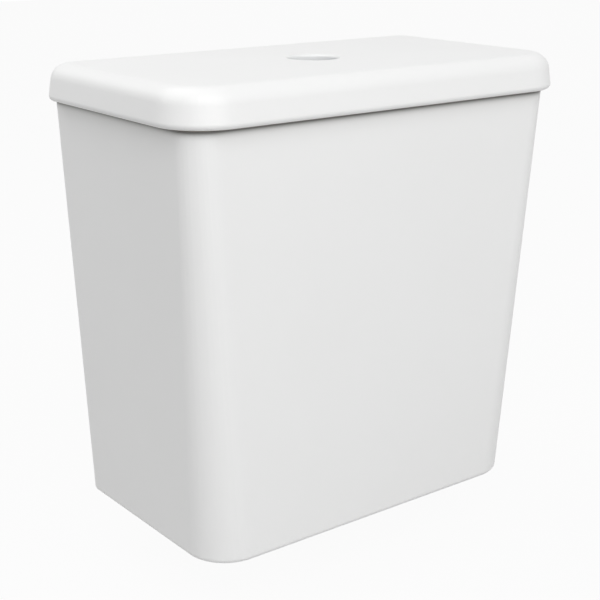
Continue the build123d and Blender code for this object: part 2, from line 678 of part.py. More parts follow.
def overflow_tube():
    """Tube that carries the seal: water above its top runs down it to the pan."""
    low = SEAL_UNDER - RETAINER_THICKNESS
    flare = SEAL_RADIUS - OVERFLOW_FLARE_PLAY
    tube = rod(OVERFLOW_RADIUS, low, OVERFLOW_TOP) + rod(flare, SEAL_TOP, FLARE_TOP)
    for index in range(CAGE_WINDOWS):
        rib_out = flare - OVERFLOW_FLARE_PLAY
        rib_half = OVERFLOW_WALL / 2
        rib = block(0, rib_out, -rib_half, rib_half, FLARE_TOP, FLARE_TOP + flare / 2)
        rib -= Pos(flare, 0, FLARE_TOP + flare / 2) * Rot(90, 0, 0) * Cylinder(flare / 2, OVERFLOW_WALL * 2)
        tube += Rot(0, 0, 360 * index / CAGE_WINDOWS) * rib
    return tube - rod(OVERFLOW_RADIUS - OVERFLOW_WALL, low - OVERRUN, OVERFLOW_TOP + OVERRUN)


def flush_seal():
    return ring(SEAL_RADIUS, OVERFLOW_RADIUS + PIN_PLAY, SEAL_UNDER, SEAL_TOP)


def seal_retainer():
    """Threaded ring on the tube's lower end that clamps the seal."""
    low = SEAL_UNDER - RETAINER_THICKNESS
    retainer = ring(OUTLET_BORE - RETAINER_PLAY, OVERFLOW_RADIUS + PIN_PLAY, low, SEAL_UNDER)
    high = SEAL_UNDER - RETAINER_THICKNESS / 3
    outer = OUTLET_BORE - RETAINER_PLAY
    return retainer - notches(RETAINER_NOTCHES, BACK_NUT_NOTCH, outer, low - OVERRUN, high)


def yoke_strap(lost_motion):
    """Strap at the left from the ring up to the lever's tip, with a window for the tip."""
    x_low = LEVER_LOAD_X - YOKE_STRAP_THICKNESS / 2
    x_high = LEVER_LOAD_X + YOKE_STRAP_THICKNESS / 2
    y_low = LEVER_Y - YOKE_STRAP_WIDTH / 2
    y_high = LEVER_Y + YOKE_STRAP_WIDTH / 2
    low = OVERFLOW_TOP - YOKE_BELOW_TOP - YOKE_RING_HEIGHT
    window_high = LEVER_TOP + YOKE_WINDOW_PLAY + lost_motion
    window_low = LEVER_TOP - LEVER_THICKNESS - PUSH_TRAVEL - 2 * YOKE_WINDOW_PLAY
    strap = block(x_low, x_high, y_low, y_high, low, window_high + YOKE_TOP_BAR)
    window = block(
        x_low - OVERRUN,
        x_high + OVERRUN,
        y_low + YOKE_WINDOW_SIDE,
        y_high - YOKE_WINDOW_SIDE,
        window_low,
        window_high,
    )
    foot = block(x_low, -OVERFLOW_RADIUS / 2, y_low, y_high, low, low + YOKE_RING_HEIGHT)
    return strap - window + foot


def lift_yoke():
    """Ring on the overflow tube with one strap for each lift lever."""
    low = OVERFLOW_TOP - YOKE_BELOW_TOP - YOKE_RING_HEIGHT
    high = OVERFLOW_TOP - YOKE_BELOW_TOP
    yoke = rod(OVERFLOW_RADIUS + YOKE_RING_WALL, low, high)
    yoke += yoke_strap(0)
    yoke += turned_half(yoke_strap(PUSH_TRAVEL + YOKE_WINDOW_PLAY / 2))
    return yoke - rod(OVERFLOW_RADIUS + PIN_PLAY, low - OVERRUN, high + OVERRUN)


def lever_ears():
    """Two ears under the plate that carry the full flush lever's pin."""
    ears = None
    half_gap = LEVER_WIDTH / 2 + LEVER_EAR_GAP
    width = LEVER_PIN_RADIUS + LEVER_BOSS_WALL
    for side in (-1, 1):
        inner = LEVER_Y + side * half_gap
        outer = inner + side * LEVER_EAR_THICKNESS
        y_low, y_high = min(inner, outer), max(inner, outer)
        ear = block(LEVER_PIVOT_X - width, LEVER_PIVOT_X + width, y_low, y_high, LEVER_MIDDLE, PLATE_UNDER)
        ear += cross_rod(width, y_low, y_high, LEVER_PIVOT_X, LEVER_MIDDLE)
        ears = ear if ears is None else ears + ear
    hole = cross_rod(LEVER_PIN_RADIUS, LEVER_Y - LEVER_ARM, LEVER_Y + LEVER_ARM, LEVER_PIVOT_X, LEVER_MIDDLE)
    return ears - hole


def bridge_leg():
    """Right leg of the bridge, toothed on its outer face where the sleeve grips it."""
    x_low = LEG_X - LEG_THICKNESS / 2
    x_high = LEG_X + LEG_THICKNESS / 2
    leg = block(x_low, x_high, -LEG_WIDTH / 2, LEG_WIDTH / 2, LEG_FOOT, PLATE_TOP)
    pitch = LEG_THICKNESS
    for index in range(LEG_TEETH):
        low = CAGE_TOP + pitch * (2 * index + 1)
        tooth_in = x_high - LEG_TOOTH_DEPTH
        leg -= block(tooth_in, x_high + OVERRUN, -LEG_WIDTH / 2, LEG_WIDTH / 2, low, low + pitch)
    return leg


def actuator_bridge():
    """Bridge over the overflow tube: plate, skirt, turret with the plunger guides, legs and lever ears."""
    outline = RectangleRounded(2 * PLATE_HALF_WIDTH, PLATE_DEPTH, PLATE_CORNER)
    plate = extrude(outline, SKIRT_DEPTH + PLATE_THICKNESS)
    inner_width = 2 * PLATE_HALF_WIDTH - 2 * SKIRT_WALL
    inner_depth = PLATE_DEPTH - 2 * SKIRT_WALL
    hollow = extrude(RectangleRounded(inner_width, inner_depth, PLATE_CORNER - SKIRT_WALL), SKIRT_DEPTH)
    bridge = Pos(0, 0, PLATE_UNDER - SKIRT_DEPTH) * (plate - hollow)
    bridge += rod(TURRET_RADIUS, PLATE_TOP, TURRET_TOP)
    leg = bridge_leg()
    ears = lever_ears()
    bridge = bridge + leg + turned_half(leg) + ears + turned_half(ears)
    for side, radius in ((1, FULL_PLUNGER_RADIUS), (-1, HALF_PLUNGER_RADIUS)):
        x = side * PLUNGER_SPREAD
        bridge -= rod(radius + SLIDE_PLAY, PLATE_TOP, TURRET_TOP + OVERRUN, x)
        bridge -= rod(PLUNGER_STEM_RADIUS + SLIDE_PLAY, PLATE_UNDER - OVERRUN, PLATE_TOP + OVERRUN, x)
    return bridge


def plunger(radius):
    """Plunger on the right: head, stem and the foot that reaches over the lever's end."""
    x = PLUNGER_SPREAD
    effort_x = LEVER_PIVOT_X + LEVER_ARM
    head = rod(radius, PLUNGER_SHOULDER, PLUNGER_TOP, x)
    head = chamfer(top_edges(head), PLUNGER_EDGE)
    foot_under = FOOT_TOP - FOOT_THICKNESS
    stem = rod(PLUNGER_STEM_RADIUS, foot_under, PLUNGER_SHOULDER, x)
    arm = block(x, effort_x + FOOT_WIDTH / 2, -PLUNGER_STEM_RADIUS, PLUNGER_STEM_RADIUS, foot_under, FOOT_TOP)
    far = LEVER_Y + LEVER_WIDTH / 2
    near = LEVER_Y - LEVER_WIDTH / 2
    x_low, x_high = effort_x - FOOT_WIDTH / 2, effort_x + FOOT_WIDTH / 2
    cross = block(x_low, x_high, -PLUNGER_STEM_RADIUS, far, foot_under, FOOT_TOP)
    toe = block(x_low, x_high, near, far, LEVER_TOP + LEVER_FOOT_GAP, FOOT_TOP)
    return head + stem + arm + cross + toe


def full_flush_plunger():
    return plunger(FULL_PLUNGER_RADIUS)


def half_flush_plunger():
    return turned_half(plunger(HALF_PLUNGER_RADIUS))


def plunger_spring(x):
    """Space that a coil spring of plain wire fills between the plate and a plunger's head."""
    outer = SPRING_RADIUS + SPRING_WIRE / 2
    inner = SPRING_RADIUS - SPRING_WIRE / 2
    return ring(outer, inner, PLATE_TOP + SPRING_END_GAP, PLUNGER_SHOULDER - SPRING_END_GAP, x)


def lift_lever():
    """Rocker under the plate: the plunger's toe presses one end, the other lifts the yoke."""
    y_low = LEVER_Y - LEVER_WIDTH / 2
    y_high = LEVER_Y + LEVER_WIDTH / 2
    x_low = LEVER_LOAD_X - LEVER_TIP
    x_high = LEVER_PIVOT_X + LEVER_ARM + LEVER_TIP
    lever = block(x_low, x_high, y_low, y_high, LEVER_TOP - LEVER_THICKNESS, LEVER_TOP)
    lever += cross_rod(LEVER_PIN_RADIUS + LEVER_BOSS_WALL, y_low, y_high, LEVER_PIVOT_X, LEVER_MIDDLE)
    return lever - cross_rod(
        LEVER_PIN_RADIUS + PIN_PLAY, y_low - OVERRUN, y_high + OVERRUN, LEVER_PIVOT_X, LEVER_MIDDLE
    )


def lift_lever_pins():
    """One pin for each lever, flush with the outer faces of its ears."""
    reach = LEVER_WIDTH / 2 + LEVER_EAR_GAP + LEVER_EAR_THICKNESS
    pin = cross_rod(LEVER_PIN_RADIUS, LEVER_Y - reach, LEVER_Y + reach, LEVER_PIVOT_X, LEVER_MIDDLE)
    return [pin, turned_half(pin)]


def partial_flush_float():
    """Open-bottomed float that rides up the rail as the tank fills."""
    low = CAGE_WINDOW_HIGH + FLOAT_ABOVE_WINDOWS
    high = low + FLOAT_BLOCK_HEIGHT
    back = -CAGE_OUTER - FLOAT_PLAY
    front = back - FLOAT_BLOCK_DEPTH
    half = FLOAT_BLOCK_WIDTH / 2
    body = block(-half, half, front, back, low, high)
    body = fillet(body.edges().filter_by(Axis.Z).group_by(Axis.Y)[0], FLOAT_BLOCK_CORNER)
    neck_front = -CAGE_OUTER - FLOAT_RAIL_STEP
    neck_half = FLOAT_RAIL_NECK / 2 + FLOAT_PLAY
    head_half = FLOAT_RAIL_HEAD / 2 + FLOAT_PLAY
    slot_front = neck_front - FLOAT_RAIL_STEP - FLOAT_PLAY
    slot = block(-neck_half, neck_half, neck_front, back + OVERRUN, low - OVERRUN, high + OVERRUN)
    slot += block(-head_half, head_half, slot_front, neck_front + FLOAT_PLAY, low - OVERRUN, high + OVERRUN)
    wall = FLOAT_BLOCK_WALL
    inner_low = low - OVERRUN
    inner_high = high - wall
    room_front = front + FLOAT_BLOCK_CORNER
    left_room = block(-half + wall, -head_half - wall, room_front, back - wall, inner_low, inner_high)
    right_room = mirror(left_room, Plane.YZ)
    return body - slot - left_room - right_room


def bolt_places():
    return [-BOLT_X, BOLT_X]


def coupling_bolts():
    head_low = TANK_FLOOR + BOLT_SEAL_THICKNESS + BOLT_WASHER_THICKNESS
    bolts = []
    for x in bolt_places():
        head = rod(BOLT_HEAD_RADIUS, head_low, head_low + BOLT_HEAD_HEIGHT, x)
        slot = block(
            x - BOLT_HEAD_RADIUS,
            x + BOLT_HEAD_RADIUS,
            -BOLT_SLOT_WIDTH / 2,
            BOLT_SLOT_WIDTH / 2,
            head_low + BOLT_HEAD_HEIGHT - BOLT_SLOT_DEPTH,
            head_low + BOLT_HEAD_HEIGHT + OVERRUN,
        )
        neck_low = BOLT_NECK_TOP - BOLT_NECK_LENGTH
        shank = rod(BOLT_RADIUS, -BOLT_BELOW_BASE, neck_low, x)
        shank += rod(BOLT_NECK_RADIUS, neck_low, BOLT_NECK_TOP, x)
        shank += rod(BOLT_RADIUS, BOLT_NECK_TOP, head_low, x)
        bolts.append(shank + head - slot)
    return bolts


def bolt_seal_washers():
    """Rubber washers that seal the bolt holes inside the tank."""
    high = TANK_FLOOR + BOLT_SEAL_THICKNESS
    return [ring(BOLT_SEAL_RADIUS, BOLT_RADIUS + BOLT_PLAY, TANK_FLOOR, high, x) for x in bolt_places()]


def flat_washers(low):
    inner = BOLT_RADIUS + BOLT_PLAY
    high = low + BOLT_WASHER_THICKNESS
    return [ring(BOLT_WASHER_RADIUS, inner, low, high, x) for x in bolt_places()]


def bolt_head_washers():
    return flat_washers(TANK_FLOOR + BOLT_SEAL_THICKNESS)


def bolt_outer_washers():
    return flat_washers(-BOLT_WASHER_THICKNESS)


def bolt_nuts():
    high = -BOLT_WASHER_THICKNESS
    low = high - BOLT_NUT_THICKNESS
    nuts = []
    for x in bolt_places():
        bore = rod(BOLT_RADIUS + PIN_PLAY, low - OVERRUN, high + OVERRUN, x)
        nuts.append(hexagon(BOLT_NUT_FLATS, low, high, x) - bore)
    return nuts


def inlet_shank():
    """Threaded inlet tail, flange and inner pipe of the fill valve, with one bore right through."""
    top = RISER_UNDER + INNER_PIPE_LAP
    neck_high = -LOCK_NUT_THICKNESS
    neck_low = neck_high - INLET_NECK_LENGTH
    shank = rod(INLET_THREAD_RADIUS, neck_high, INLET_FLANGE_UNDER, FILL_X, FILL_Y)
    shank += rod(INLET_NECK_RADIUS, neck_low, neck_high, FILL_X, FILL_Y)
    shank += rod(INLET_THREAD_RADIUS, -INLET_BELOW_BASE, neck_low, FILL_X, FILL_Y)
    shank += rod(INLET_FLANGE_RADIUS, INLET_FLANGE_UNDER, INLET_FLANGE_TOP, FILL_X, FILL_Y)
    shank += rod(INNER_PIPE_RADIUS, INLET_FLANGE_TOP, top, FILL_X, FILL_Y)
    return shank - rod(INLET_BORE_RADIUS, -INLET_BELOW_BASE - OVERRUN, top + OVERRUN, FILL_X, FILL_Y)


def inlet_seal_washer():
    inner = INLET_THREAD_RADIUS + SLIDE_PLAY
    return ring(INLET_FLANGE_RADIUS, inner, TANK_FLOOR, INLET_FLANGE_UNDER, FILL_X, FILL_Y)


def inlet_lock_nut():
    nut = hexagon(LOCK_NUT_FLATS, -LOCK_NUT_THICKNESS, 0, FILL_X, FILL_Y)
    nut += rod(LOCK_NUT_FLANGE_RADIUS, -LOCK_NUT_FLANGE_THICKNESS, 0, FILL_X, FILL_Y)
    return nut - rod(INLET_THREAD_RADIUS + PIN_PLAY, -LOCK_NUT_THICKNESS - OVERRUN, OVERRUN, FILL_X, FILL_Y)


def inlet_filter():
    """Thimble strainer inside the inlet's bore, open downwards."""
    radius = INLET_BORE_RADIUS - FILTER_RADIUS_PLAY
    low = -INLET_BELOW_BASE + FILTER_WALL
    high = low + FILTER_LENGTH
    thimble = rod(radius, low, high, FILL_X, FILL_Y)
    return thimble - rod(radius - FILTER_WALL, low - OVERRUN, high - 2 * FILTER_WALL, FILL_X, FILL_Y)


def riser_tube():
    return ring(RISER_OUTER, RISER_INNER, RISER_UNDER, HEAD_UNDER, FILL_X, FILL_Y)


def riser_lock_ring():
    """Ribbed ring that holds the riser at the height it is set to."""
    high = RISER_UNDER
    low = high - LOCK_RING_HEIGHT
    outer = RISER_OUTER + LOCK_RING_WALL
    lock = ring(outer, INNER_PIPE_RADIUS + PIN_PLAY, low, high, FILL_X, FILL_Y)
    cut_low = low + GRIP_NOTCH
    return lock - notches(LOCK_RING_NOTCHES, GRIP_NOTCH, outer, cut_low, high + OVERRUN, FILL_X, FILL_Y)


def fill_valve_head():
    """Round housing on the riser, with the nipple for the refill tube at its left."""
    head = rod(HEAD_RADIUS, HEAD_UNDER, HEAD_TOP, FILL_X, FILL_Y)
    tip = FILL_X - HEAD_RADIUS - NIPPLE_LENGTH
    head += side_rod(NIPPLE_RADIUS, tip, FILL_X, FILL_Y, NIPPLE_Z)
    bore_end = FILL_X - HEAD_RADIUS / 2
    return head - side_rod(NIPPLE_BORE, tip - OVERRUN, bore_end, FILL_Y, NIPPLE_Z)


def valve_diaphragm():
    return rod(HEAD_RADIUS - CAP_RADIUS_STEP, HEAD_TOP, CAP_UNDER, FILL_X, FILL_Y)


def arm_ears():
    """Two ears on the cap that carry the arm's pin."""
    half_gap = ARM_WIDTH / 2 + ARM_EAR_GAP
    width = ARM_PIN_RADIUS + ARM_BOSS_WALL
    ear = block(
        FILL_X + half_gap,
        FILL_X + half_gap + ARM_EAR_THICKNESS,
        ARM_PIVOT_Y - width,
        ARM_PIVOT_Y + width,
        CAP_TOP - GRIP_NOTCH,
        ARM_MIDDLE,
    )
    ear += side_rod(width, FILL_X + half_gap, FILL_X + half_gap + ARM_EAR_THICKNESS, ARM_PIVOT_Y, ARM_MIDDLE)
    ears = ear + mirror(ear, Plane.YZ.offset(FILL_X))
    reach = half_gap + ARM_EAR_THICKNESS + OVERRUN
    return ears - side_rod(ARM_PIN_RADIUS, FILL_X - reach, FILL_X + reach, ARM_PIVOT_Y, ARM_MIDDLE)


def fill_valve_cap():
    """Twist-off cap with grip ribs and the arm's ears."""
    radius = HEAD_RADIUS + CAP_RADIUS_STEP
    cap = rod(radius, CAP_UNDER, CAP_TOP, FILL_X, FILL_Y)
    cut_high = CAP_TOP - 2 * GRIP_NOTCH
    cap -= notches(CAP_NOTCHES, GRIP_NOTCH, radius, CAP_UNDER - OVERRUN, cut_high, FILL_X, FILL_Y)
    return cap + arm_ears()


def float_cup():
    """Round float open at its foot, with the lug that the level screw is threaded in."""
    low = CUP_TOP - CUP_HEIGHT
    bore = RISER_OUTER + CUP_BORE_PLAY
    cup = rod(CUP_RADIUS, low, CUP_TOP, FILL_X, FILL_Y)
    room = ring(CUP_RADIUS - CUP_WALL, bore + CUP_WALL, low - OVERRUN, CUP_TOP - CUP_WALL, FILL_X, FILL_Y)
    cup = cup - room - rod(bore, low - OVERRUN, CUP_TOP + OVERRUN, FILL_X, FILL_Y)
    lug_high = CUP_TOP - LUG_BELOW_CUP_TOP
    lug_low = lug_high - LUG_THICKNESS
    lug = block(
        FILL_X - LUG_WIDTH / 2, FILL_X + LUG_WIDTH / 2, SCREW_Y - LUG_PAST_SCREW, FILL_Y, lug_low, lug_high
    )
    lug -= rod(CUP_RADIUS - CUP_WALL / 2, lug_low - OVERRUN, lug_high + OVERRUN, FILL_X, FILL_Y)
    lug -= rod(SCREW_RADIUS + PIN_PLAY, lug_low - OVERRUN, lug_high + OVERRUN, FILL_X, SCREW_Y)
    return cup + lug


def float_arm():
    """Arm that the float lifts: its short end closes the pilot hole in the middle of the cap."""
    half = ARM_WIDTH / 2
    top = ARM_UNDER + ARM_THICKNESS
    far = SCREW_Y - ARM_END
    near = FILL_Y + ARM_NUB_RADIUS + ARM_BOSS_WALL
    arm = block(FILL_X - half, FILL_X + half, far, near, ARM_UNDER, top)
    arm = fillet(arm.edges().filter_by(Axis.Z), half / 2)
    arm += side_rod(ARM_PIN_RADIUS + ARM_BOSS_WALL, FILL_X - half, FILL_X + half, ARM_PIVOT_Y, ARM_MIDDLE)
    arm += rod(ARM_NUB_RADIUS, ARM_UNDER - ARM_NUB_HEIGHT, ARM_UNDER, FILL_X, FILL_Y)
    slot = SlotOverall(ARM_SLOT_LENGTH, 2 * (SCREW_RADIUS + SCREW_SLOT_PLAY), rotation=90)
    arm -= Pos(FILL_X, SCREW_Y, ARM_UNDER - OVERRUN) * extrude(slot, ARM_THICKNESS + 2 * OVERRUN)
    reach = half + OVERRUN
    return arm - side_rod(ARM_PIN_RADIUS + PIN_PLAY, FILL_X - reach, FILL_X + reach, ARM_PIVOT_Y, ARM_MIDDLE)


def float_arm_pin():
    reach = ARM_WIDTH / 2 + ARM_EAR_GAP + ARM_EAR_THICKNESS
    return side_rod(ARM_PIN_RADIUS, FILL_X - reach, FILL_X + reach, ARM_PIVOT_Y, ARM_MIDDLE)


def water_level_screw():
    """Threaded rod from the float's lug up through the arm, with a notched head to turn."""
    low = CUP_TOP - LUG_BELOW_CUP_TOP - LUG_THICKNESS - SCREW_BELOW_LUG
    collar_high = ARM_UNDER - SCREW_ARM_GAP
    head_low = ARM_UNDER + ARM_THICKNESS + SCREW_ARM_GAP
    head_high = head_low + SCREW_HEAD_HEIGHT
    screw = rod(SCREW_RADIUS, low, head_low, FILL_X, SCREW_Y)
    screw += rod(SCREW_HEAD_RADIUS, collar_high - SCREW_COLLAR_HEIGHT, collar_high, FILL_X, SCREW_Y)
    screw += rod(SCREW_HEAD_RADIUS, head_low, head_high, FILL_X, SCREW_Y)
    cut_low = head_low + GRIP_NOTCH / 2
    cut_high = head_high + OVERRUN
    cuts = notches(SCREW_HEAD_NOTCHES, GRIP_NOTCH, SCREW_HEAD_RADIUS, cut_low, cut_high, FILL_X, SCREW_Y)
    return screw - cuts


def spout_place():
    """Where the refill water drops into the overflow tube."""
    return OVERFLOW_RADIUS * SPOUT_INSIDE_SHARE


def refill_clip():
    """Clip on the bridge's right leg with a spout over the overflow tube and a barb for the refill tube."""
    inner_x = LEG_X - LEG_THICKNESS / 2 - PIN_PLAY
    outer_x = LEG_X + LEG_THICKNESS / 2 + PIN_PLAY
    half = LEG_WIDTH / 2 + PIN_PLAY
    low, high = CLIP_Z - CLIP_HEIGHT / 2, CLIP_Z + CLIP_HEIGHT / 2
    clip = block(inner_x - CLIP_WALL, outer_x + CLIP_WALL, -half - CLIP_WALL, half + CLIP_WALL, low, high)
    clip -= block(inner_x, outer_x, -half, half, low - OVERRUN, high + OVERRUN)
    spout_x = spout_place()
    arm = side_rod(SPOUT_RADIUS, spout_x, inner_x - CLIP_WALL / 2, 0, CLIP_Z)
    spout_low = OVERFLOW_TOP + PUSH_TRAVEL + SPOUT_CLEARANCE
    spout = rod(SPOUT_RADIUS, spout_low, CLIP_Z, spout_x) + Pos(spout_x, 0, CLIP_Z) * Sphere(SPOUT_RADIUS)
    barb = side_rod(NIPPLE_RADIUS, outer_x + CLIP_WALL / 2, outer_x + CLIP_WALL + BARB_LENGTH, 0, CLIP_Z)
    return clip + arm + spout + barb


def refill_route():
    """Corners of the refill tube's centre line, from the valve's nipple to the clip's barb."""
    start = FILL_X - HEAD_RADIUS - NIPPLE_LENGTH / 2
    end = LEG_X + LEG_THICKNESS / 2 + PIN_PLAY + CLIP_WALL + BARB_LENGTH / 2
    turn = start + (end - start) / 2
    return [(start, FILL_Y, NIPPLE_Z), (turn, FILL_Y, NIPPLE_Z), (turn, 0, CLIP_Z), (end, 0, CLIP_Z)]


def refill_bend(route):
    """Radius of the refill tube's bends, from the room in its run and in its slope."""
    run = (Vector(*route[1]) - Vector(*route[0])).length
    slope = (Vector(*route[2]) - Vector(*route[1])).length
    return REFILL_BEND_SHARE * run * slope / (run + slope)


def refill_tube():
    """Soft tube pushed over the nipple at one end and the barb at the other."""
    route = refill_route()
    path = FilletPolyline(route, radius=refill_bend(route))
    tube = sweep(Plane(origin=path @ 0, z_dir=path % 0) * Circle(REFILL_RADIUS), path)
    start, end = route[0], route[-1]
    socket = NIPPLE_RADIUS + PIN_PLAY
    nipple_end = start[0] - NIPPLE_LENGTH / 2 - PIN_PLAY
    barb_end = end[0] + BARB_LENGTH / 2 + PIN_PLAY
    tube -= side_rod(socket, nipple_end, start[0] + OVERRUN, FILL_Y, NIPPLE_Z)
    return tube - side_rod(socket, end[0] - OVERRUN, barb_end, 0, CLIP_Z)


def blanking_plug():
    low = TANK_FLOOR + PLUG_SEAL_THICKNESS
    plug = rod(PLUG_HEAD_RADIUS, low, low + PLUG_HEAD_THICKNESS, -FILL_X, FILL_Y)
    plug += rod(PLUG_STEM_RADIUS, -PLUG_BELOW_BASE, low, -FILL_X, FILL_Y)
    return plug - rod(PLUG_STEM_RADIUS / 2, -PLUG_BELOW_BASE - OVERRUN, low - OVERRUN, -FILL_X, FILL_Y)


def blanking_plug_washer():
    high = TANK_FLOOR + PLUG_SEAL_THICKNESS
    return ring(PLUG_HEAD_RADIUS, PLUG_STEM_RADIUS + SLIDE_PLAY, TANK_FLOOR, high, -FILL_X, FILL_Y)


def blanking_plug_nut():
    nut = ring(PLUG_NUT_RADIUS, PLUG_STEM_RADIUS + PIN_PLAY, -PLUG_NUT_THICKNESS, 0, -FILL_X, FILL_Y)
    low, high = -PLUG_NUT_THICKNESS - OVERRUN, -PLUG_NUT_NOTCH
    return nut - notches(PLUG_NUT_NOTCHES, PLUG_NUT_NOTCH, PLUG_NUT_RADIUS, low, high, -FILL_X, FILL_Y)


def full_plunger_spring():
    return plunger_spring(PLUNGER_SPREAD)


def half_plunger_spring():
    return plunger_spring(-PLUNGER_SPREAD)


def full_lift_lever():
    return lift_lever()


def half_lift_lever():
    return turned_half(lift_lever())


PIECES = [
    cistern_tank,
    cistern_lid,
    lid_pads,
    flush_valve_base,
    base_seal_washer,
    flush_back_nut,
    doughnut_washer,
    flush_valve_cage,
    overflow_tube,
    flush_seal,
    seal_retainer,
    lift_yoke,
    actuator_bridge,
    full_flush_plunger,
    half_flush_plunger,
    full_plunger_spring,
    half_plunger_spring,
    full_lift_lever,
    half_lift_lever,
    lift_lever_pins,
    partial_flush_float,
    inlet_shank,
    inlet_seal_washer,
    inlet_lock_nut,
    inlet_filter,
    riser_tube,
    riser_lock_ring,
    fill_valve_head,
    valve_diaphragm,
    fill_valve_cap,
    float_cup,
    float_arm,
    float_arm_pin,
    water_level_screw,
    refill_clip,
    refill_tube,
    coupling_bolts,
    bolt_seal_washers,
    bolt_head_washers,
    bolt_outer_washers,
    bolt_nuts,
    blanking_plug,
    blanking_plug_washer,
    blanking_plug_nut,
]

for piece in PIECES:
    shape = piece()
    if isinstance(shape, list):
        shape = Compound(shape)
    export_step(shape, "parts/" + piece.__name__ + ".step")
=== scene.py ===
import json
import math

import bmesh
import bpy
from mathutils import Matrix, Vector

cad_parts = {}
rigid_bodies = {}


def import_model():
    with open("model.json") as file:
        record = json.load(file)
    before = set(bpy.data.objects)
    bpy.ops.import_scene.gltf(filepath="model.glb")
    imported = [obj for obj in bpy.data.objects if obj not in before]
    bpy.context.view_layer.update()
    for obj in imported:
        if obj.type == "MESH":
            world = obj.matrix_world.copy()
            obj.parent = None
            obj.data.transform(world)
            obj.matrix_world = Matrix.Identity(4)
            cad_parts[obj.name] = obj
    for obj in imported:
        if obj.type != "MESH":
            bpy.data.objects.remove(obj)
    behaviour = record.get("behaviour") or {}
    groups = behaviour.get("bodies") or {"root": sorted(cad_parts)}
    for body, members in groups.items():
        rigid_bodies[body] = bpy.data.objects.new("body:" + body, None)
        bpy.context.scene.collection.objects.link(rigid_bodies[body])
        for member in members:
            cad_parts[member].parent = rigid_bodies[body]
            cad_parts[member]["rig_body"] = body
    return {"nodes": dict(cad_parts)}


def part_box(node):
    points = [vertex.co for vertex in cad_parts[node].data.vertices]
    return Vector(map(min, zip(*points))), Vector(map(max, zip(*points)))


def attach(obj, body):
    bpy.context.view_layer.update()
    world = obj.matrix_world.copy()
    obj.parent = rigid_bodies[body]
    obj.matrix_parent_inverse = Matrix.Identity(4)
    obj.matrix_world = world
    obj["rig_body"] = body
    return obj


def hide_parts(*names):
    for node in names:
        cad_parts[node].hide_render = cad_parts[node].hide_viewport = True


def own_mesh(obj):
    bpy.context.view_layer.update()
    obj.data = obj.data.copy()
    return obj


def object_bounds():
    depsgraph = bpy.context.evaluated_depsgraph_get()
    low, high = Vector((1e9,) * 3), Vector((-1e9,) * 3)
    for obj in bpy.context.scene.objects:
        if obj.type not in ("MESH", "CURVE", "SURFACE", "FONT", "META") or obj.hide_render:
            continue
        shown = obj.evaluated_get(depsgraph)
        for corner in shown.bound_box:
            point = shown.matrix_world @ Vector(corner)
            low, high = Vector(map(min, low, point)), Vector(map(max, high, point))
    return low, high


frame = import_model()
cad_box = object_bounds()

# Camera, fitted to the photograph's outlines, in metres, radians and pixels of its 600 by 600 frame
PHOTO_SIDE_PX = 600
FOCAL_PX = 1287.33
SENSOR_MM = 36.0
CAMERA_PLACE = (-0.62692, -0.80211, 0.47864)
CAMERA_YAW = 0.65338
CAMERA_PITCH = 0.30002

# Light, in watts and metres
ROOM_LEVEL = 0.34
FLOOR_SIDE = 12.0
FLOOR_GAP = 0.0005
FLOOR_COLOUR = (0.5, 0.5, 0.5, 1.0)
SHADOW_SHARE = 0.05
WHITE = (1.0, 1.0, 1.0, 1.0)
KEY_PLACE = (-0.6, -2.1, 1.6)
KEY_SIDE = 3.0
KEY_WATTS = 57.0
TOP_PLACE = (-0.9, 0.9, 1.8)
TOP_SIDE = 2.0
TOP_WATTS = 16.0

# Rounding of the pieces' edges
CHINA_EDGE = 0.0010
LID_EDGE = 0.0004
MOULDING_EDGE = 0.0004
RUBBER_EDGE = 0.0005
METAL_EDGE = 0.0003
MERGE_DISTANCE = 0.00001
FLAT_ANGLE = math.radians(0.4)
SHARP_ANGLE = math.radians(32)
EDGE_STEPS = 2
MOST_FOLDED = 1.005

# Wound wire and threads
SPRING_TURNS = 6.0
SPRING_WIRE_RADIUS = 0.0005
WIRE_STEPS = 24
WIRE_SIDES = 8
THREAD_STEPS = 28
THREAD_SIDES = 4
NECK_LENGTH = 0.0015
BOLT_RADIUS = 0.004
BOLT_PITCH = 0.00125
BOLT_THREAD_DEPTH = 0.00055
INLET_RADIUS = 0.01048
INLET_PITCH = 0.001814
INLET_THREAD_DEPTH = 0.0008
SCREW_RADIUS = 0.0024
SCREW_PLAIN_BELOW_ARM = 0.004
SCREW_PITCH = 0.0015
SCREW_THREAD_DEPTH = 0.0004
BAND_REACH = 0.00005
RADIUS_REACH = 0.0002

# Refill tube, with the corners of its route from the part's source
REFILL_RADIUS = 0.0036
REFILL_SIDE_STEPS = 6
REFILL_STEPS = 16
REFILL_ORDER = 3
REFILL_ROUTE = (
    (0.08575, 0.020, 0.231),
    (0.0669, 0.020, 0.231),
    (0.0669, 0.0, 0.271),
    (0.04805, 0.0, 0.271),
)

# China, and where it is left without glaze
RIM_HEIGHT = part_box("cistern_tank")[1].z
LID_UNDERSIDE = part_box("lid_pads")[1].z
UNGLAZED_SKIN = 0.0004
ABOVE_ALL = 1.0
CHINA_LIGHT = (0.885, 0.887, 0.885, 1.0)
CHINA_DARK = (0.865, 0.866, 0.862, 1.0)
BISCUIT_COLOUR = (0.80, 0.77, 0.71, 1.0)
BISCUIT_ROUGHNESS = 0.75
GLAZE_SHARE = 0.2
GLAZE_ROUGHNESS = 0.30

# Painted shade in the seam under the lid's edge, a dark colour standing in for the shadow of the lid's
# overhang, with its depths under the rim
PAINTED_SHADE_ENDS_BELOW = 0.0088
PAINTED_SHADE_FULL_BELOW = 0.0012
PAINTED_SHADE_COLOUR = (0.16, 0.157, 0.15, 1.0)
PAINTED_SHADE_FADE = 4.0
OUTWARD_LEAST = 0.01

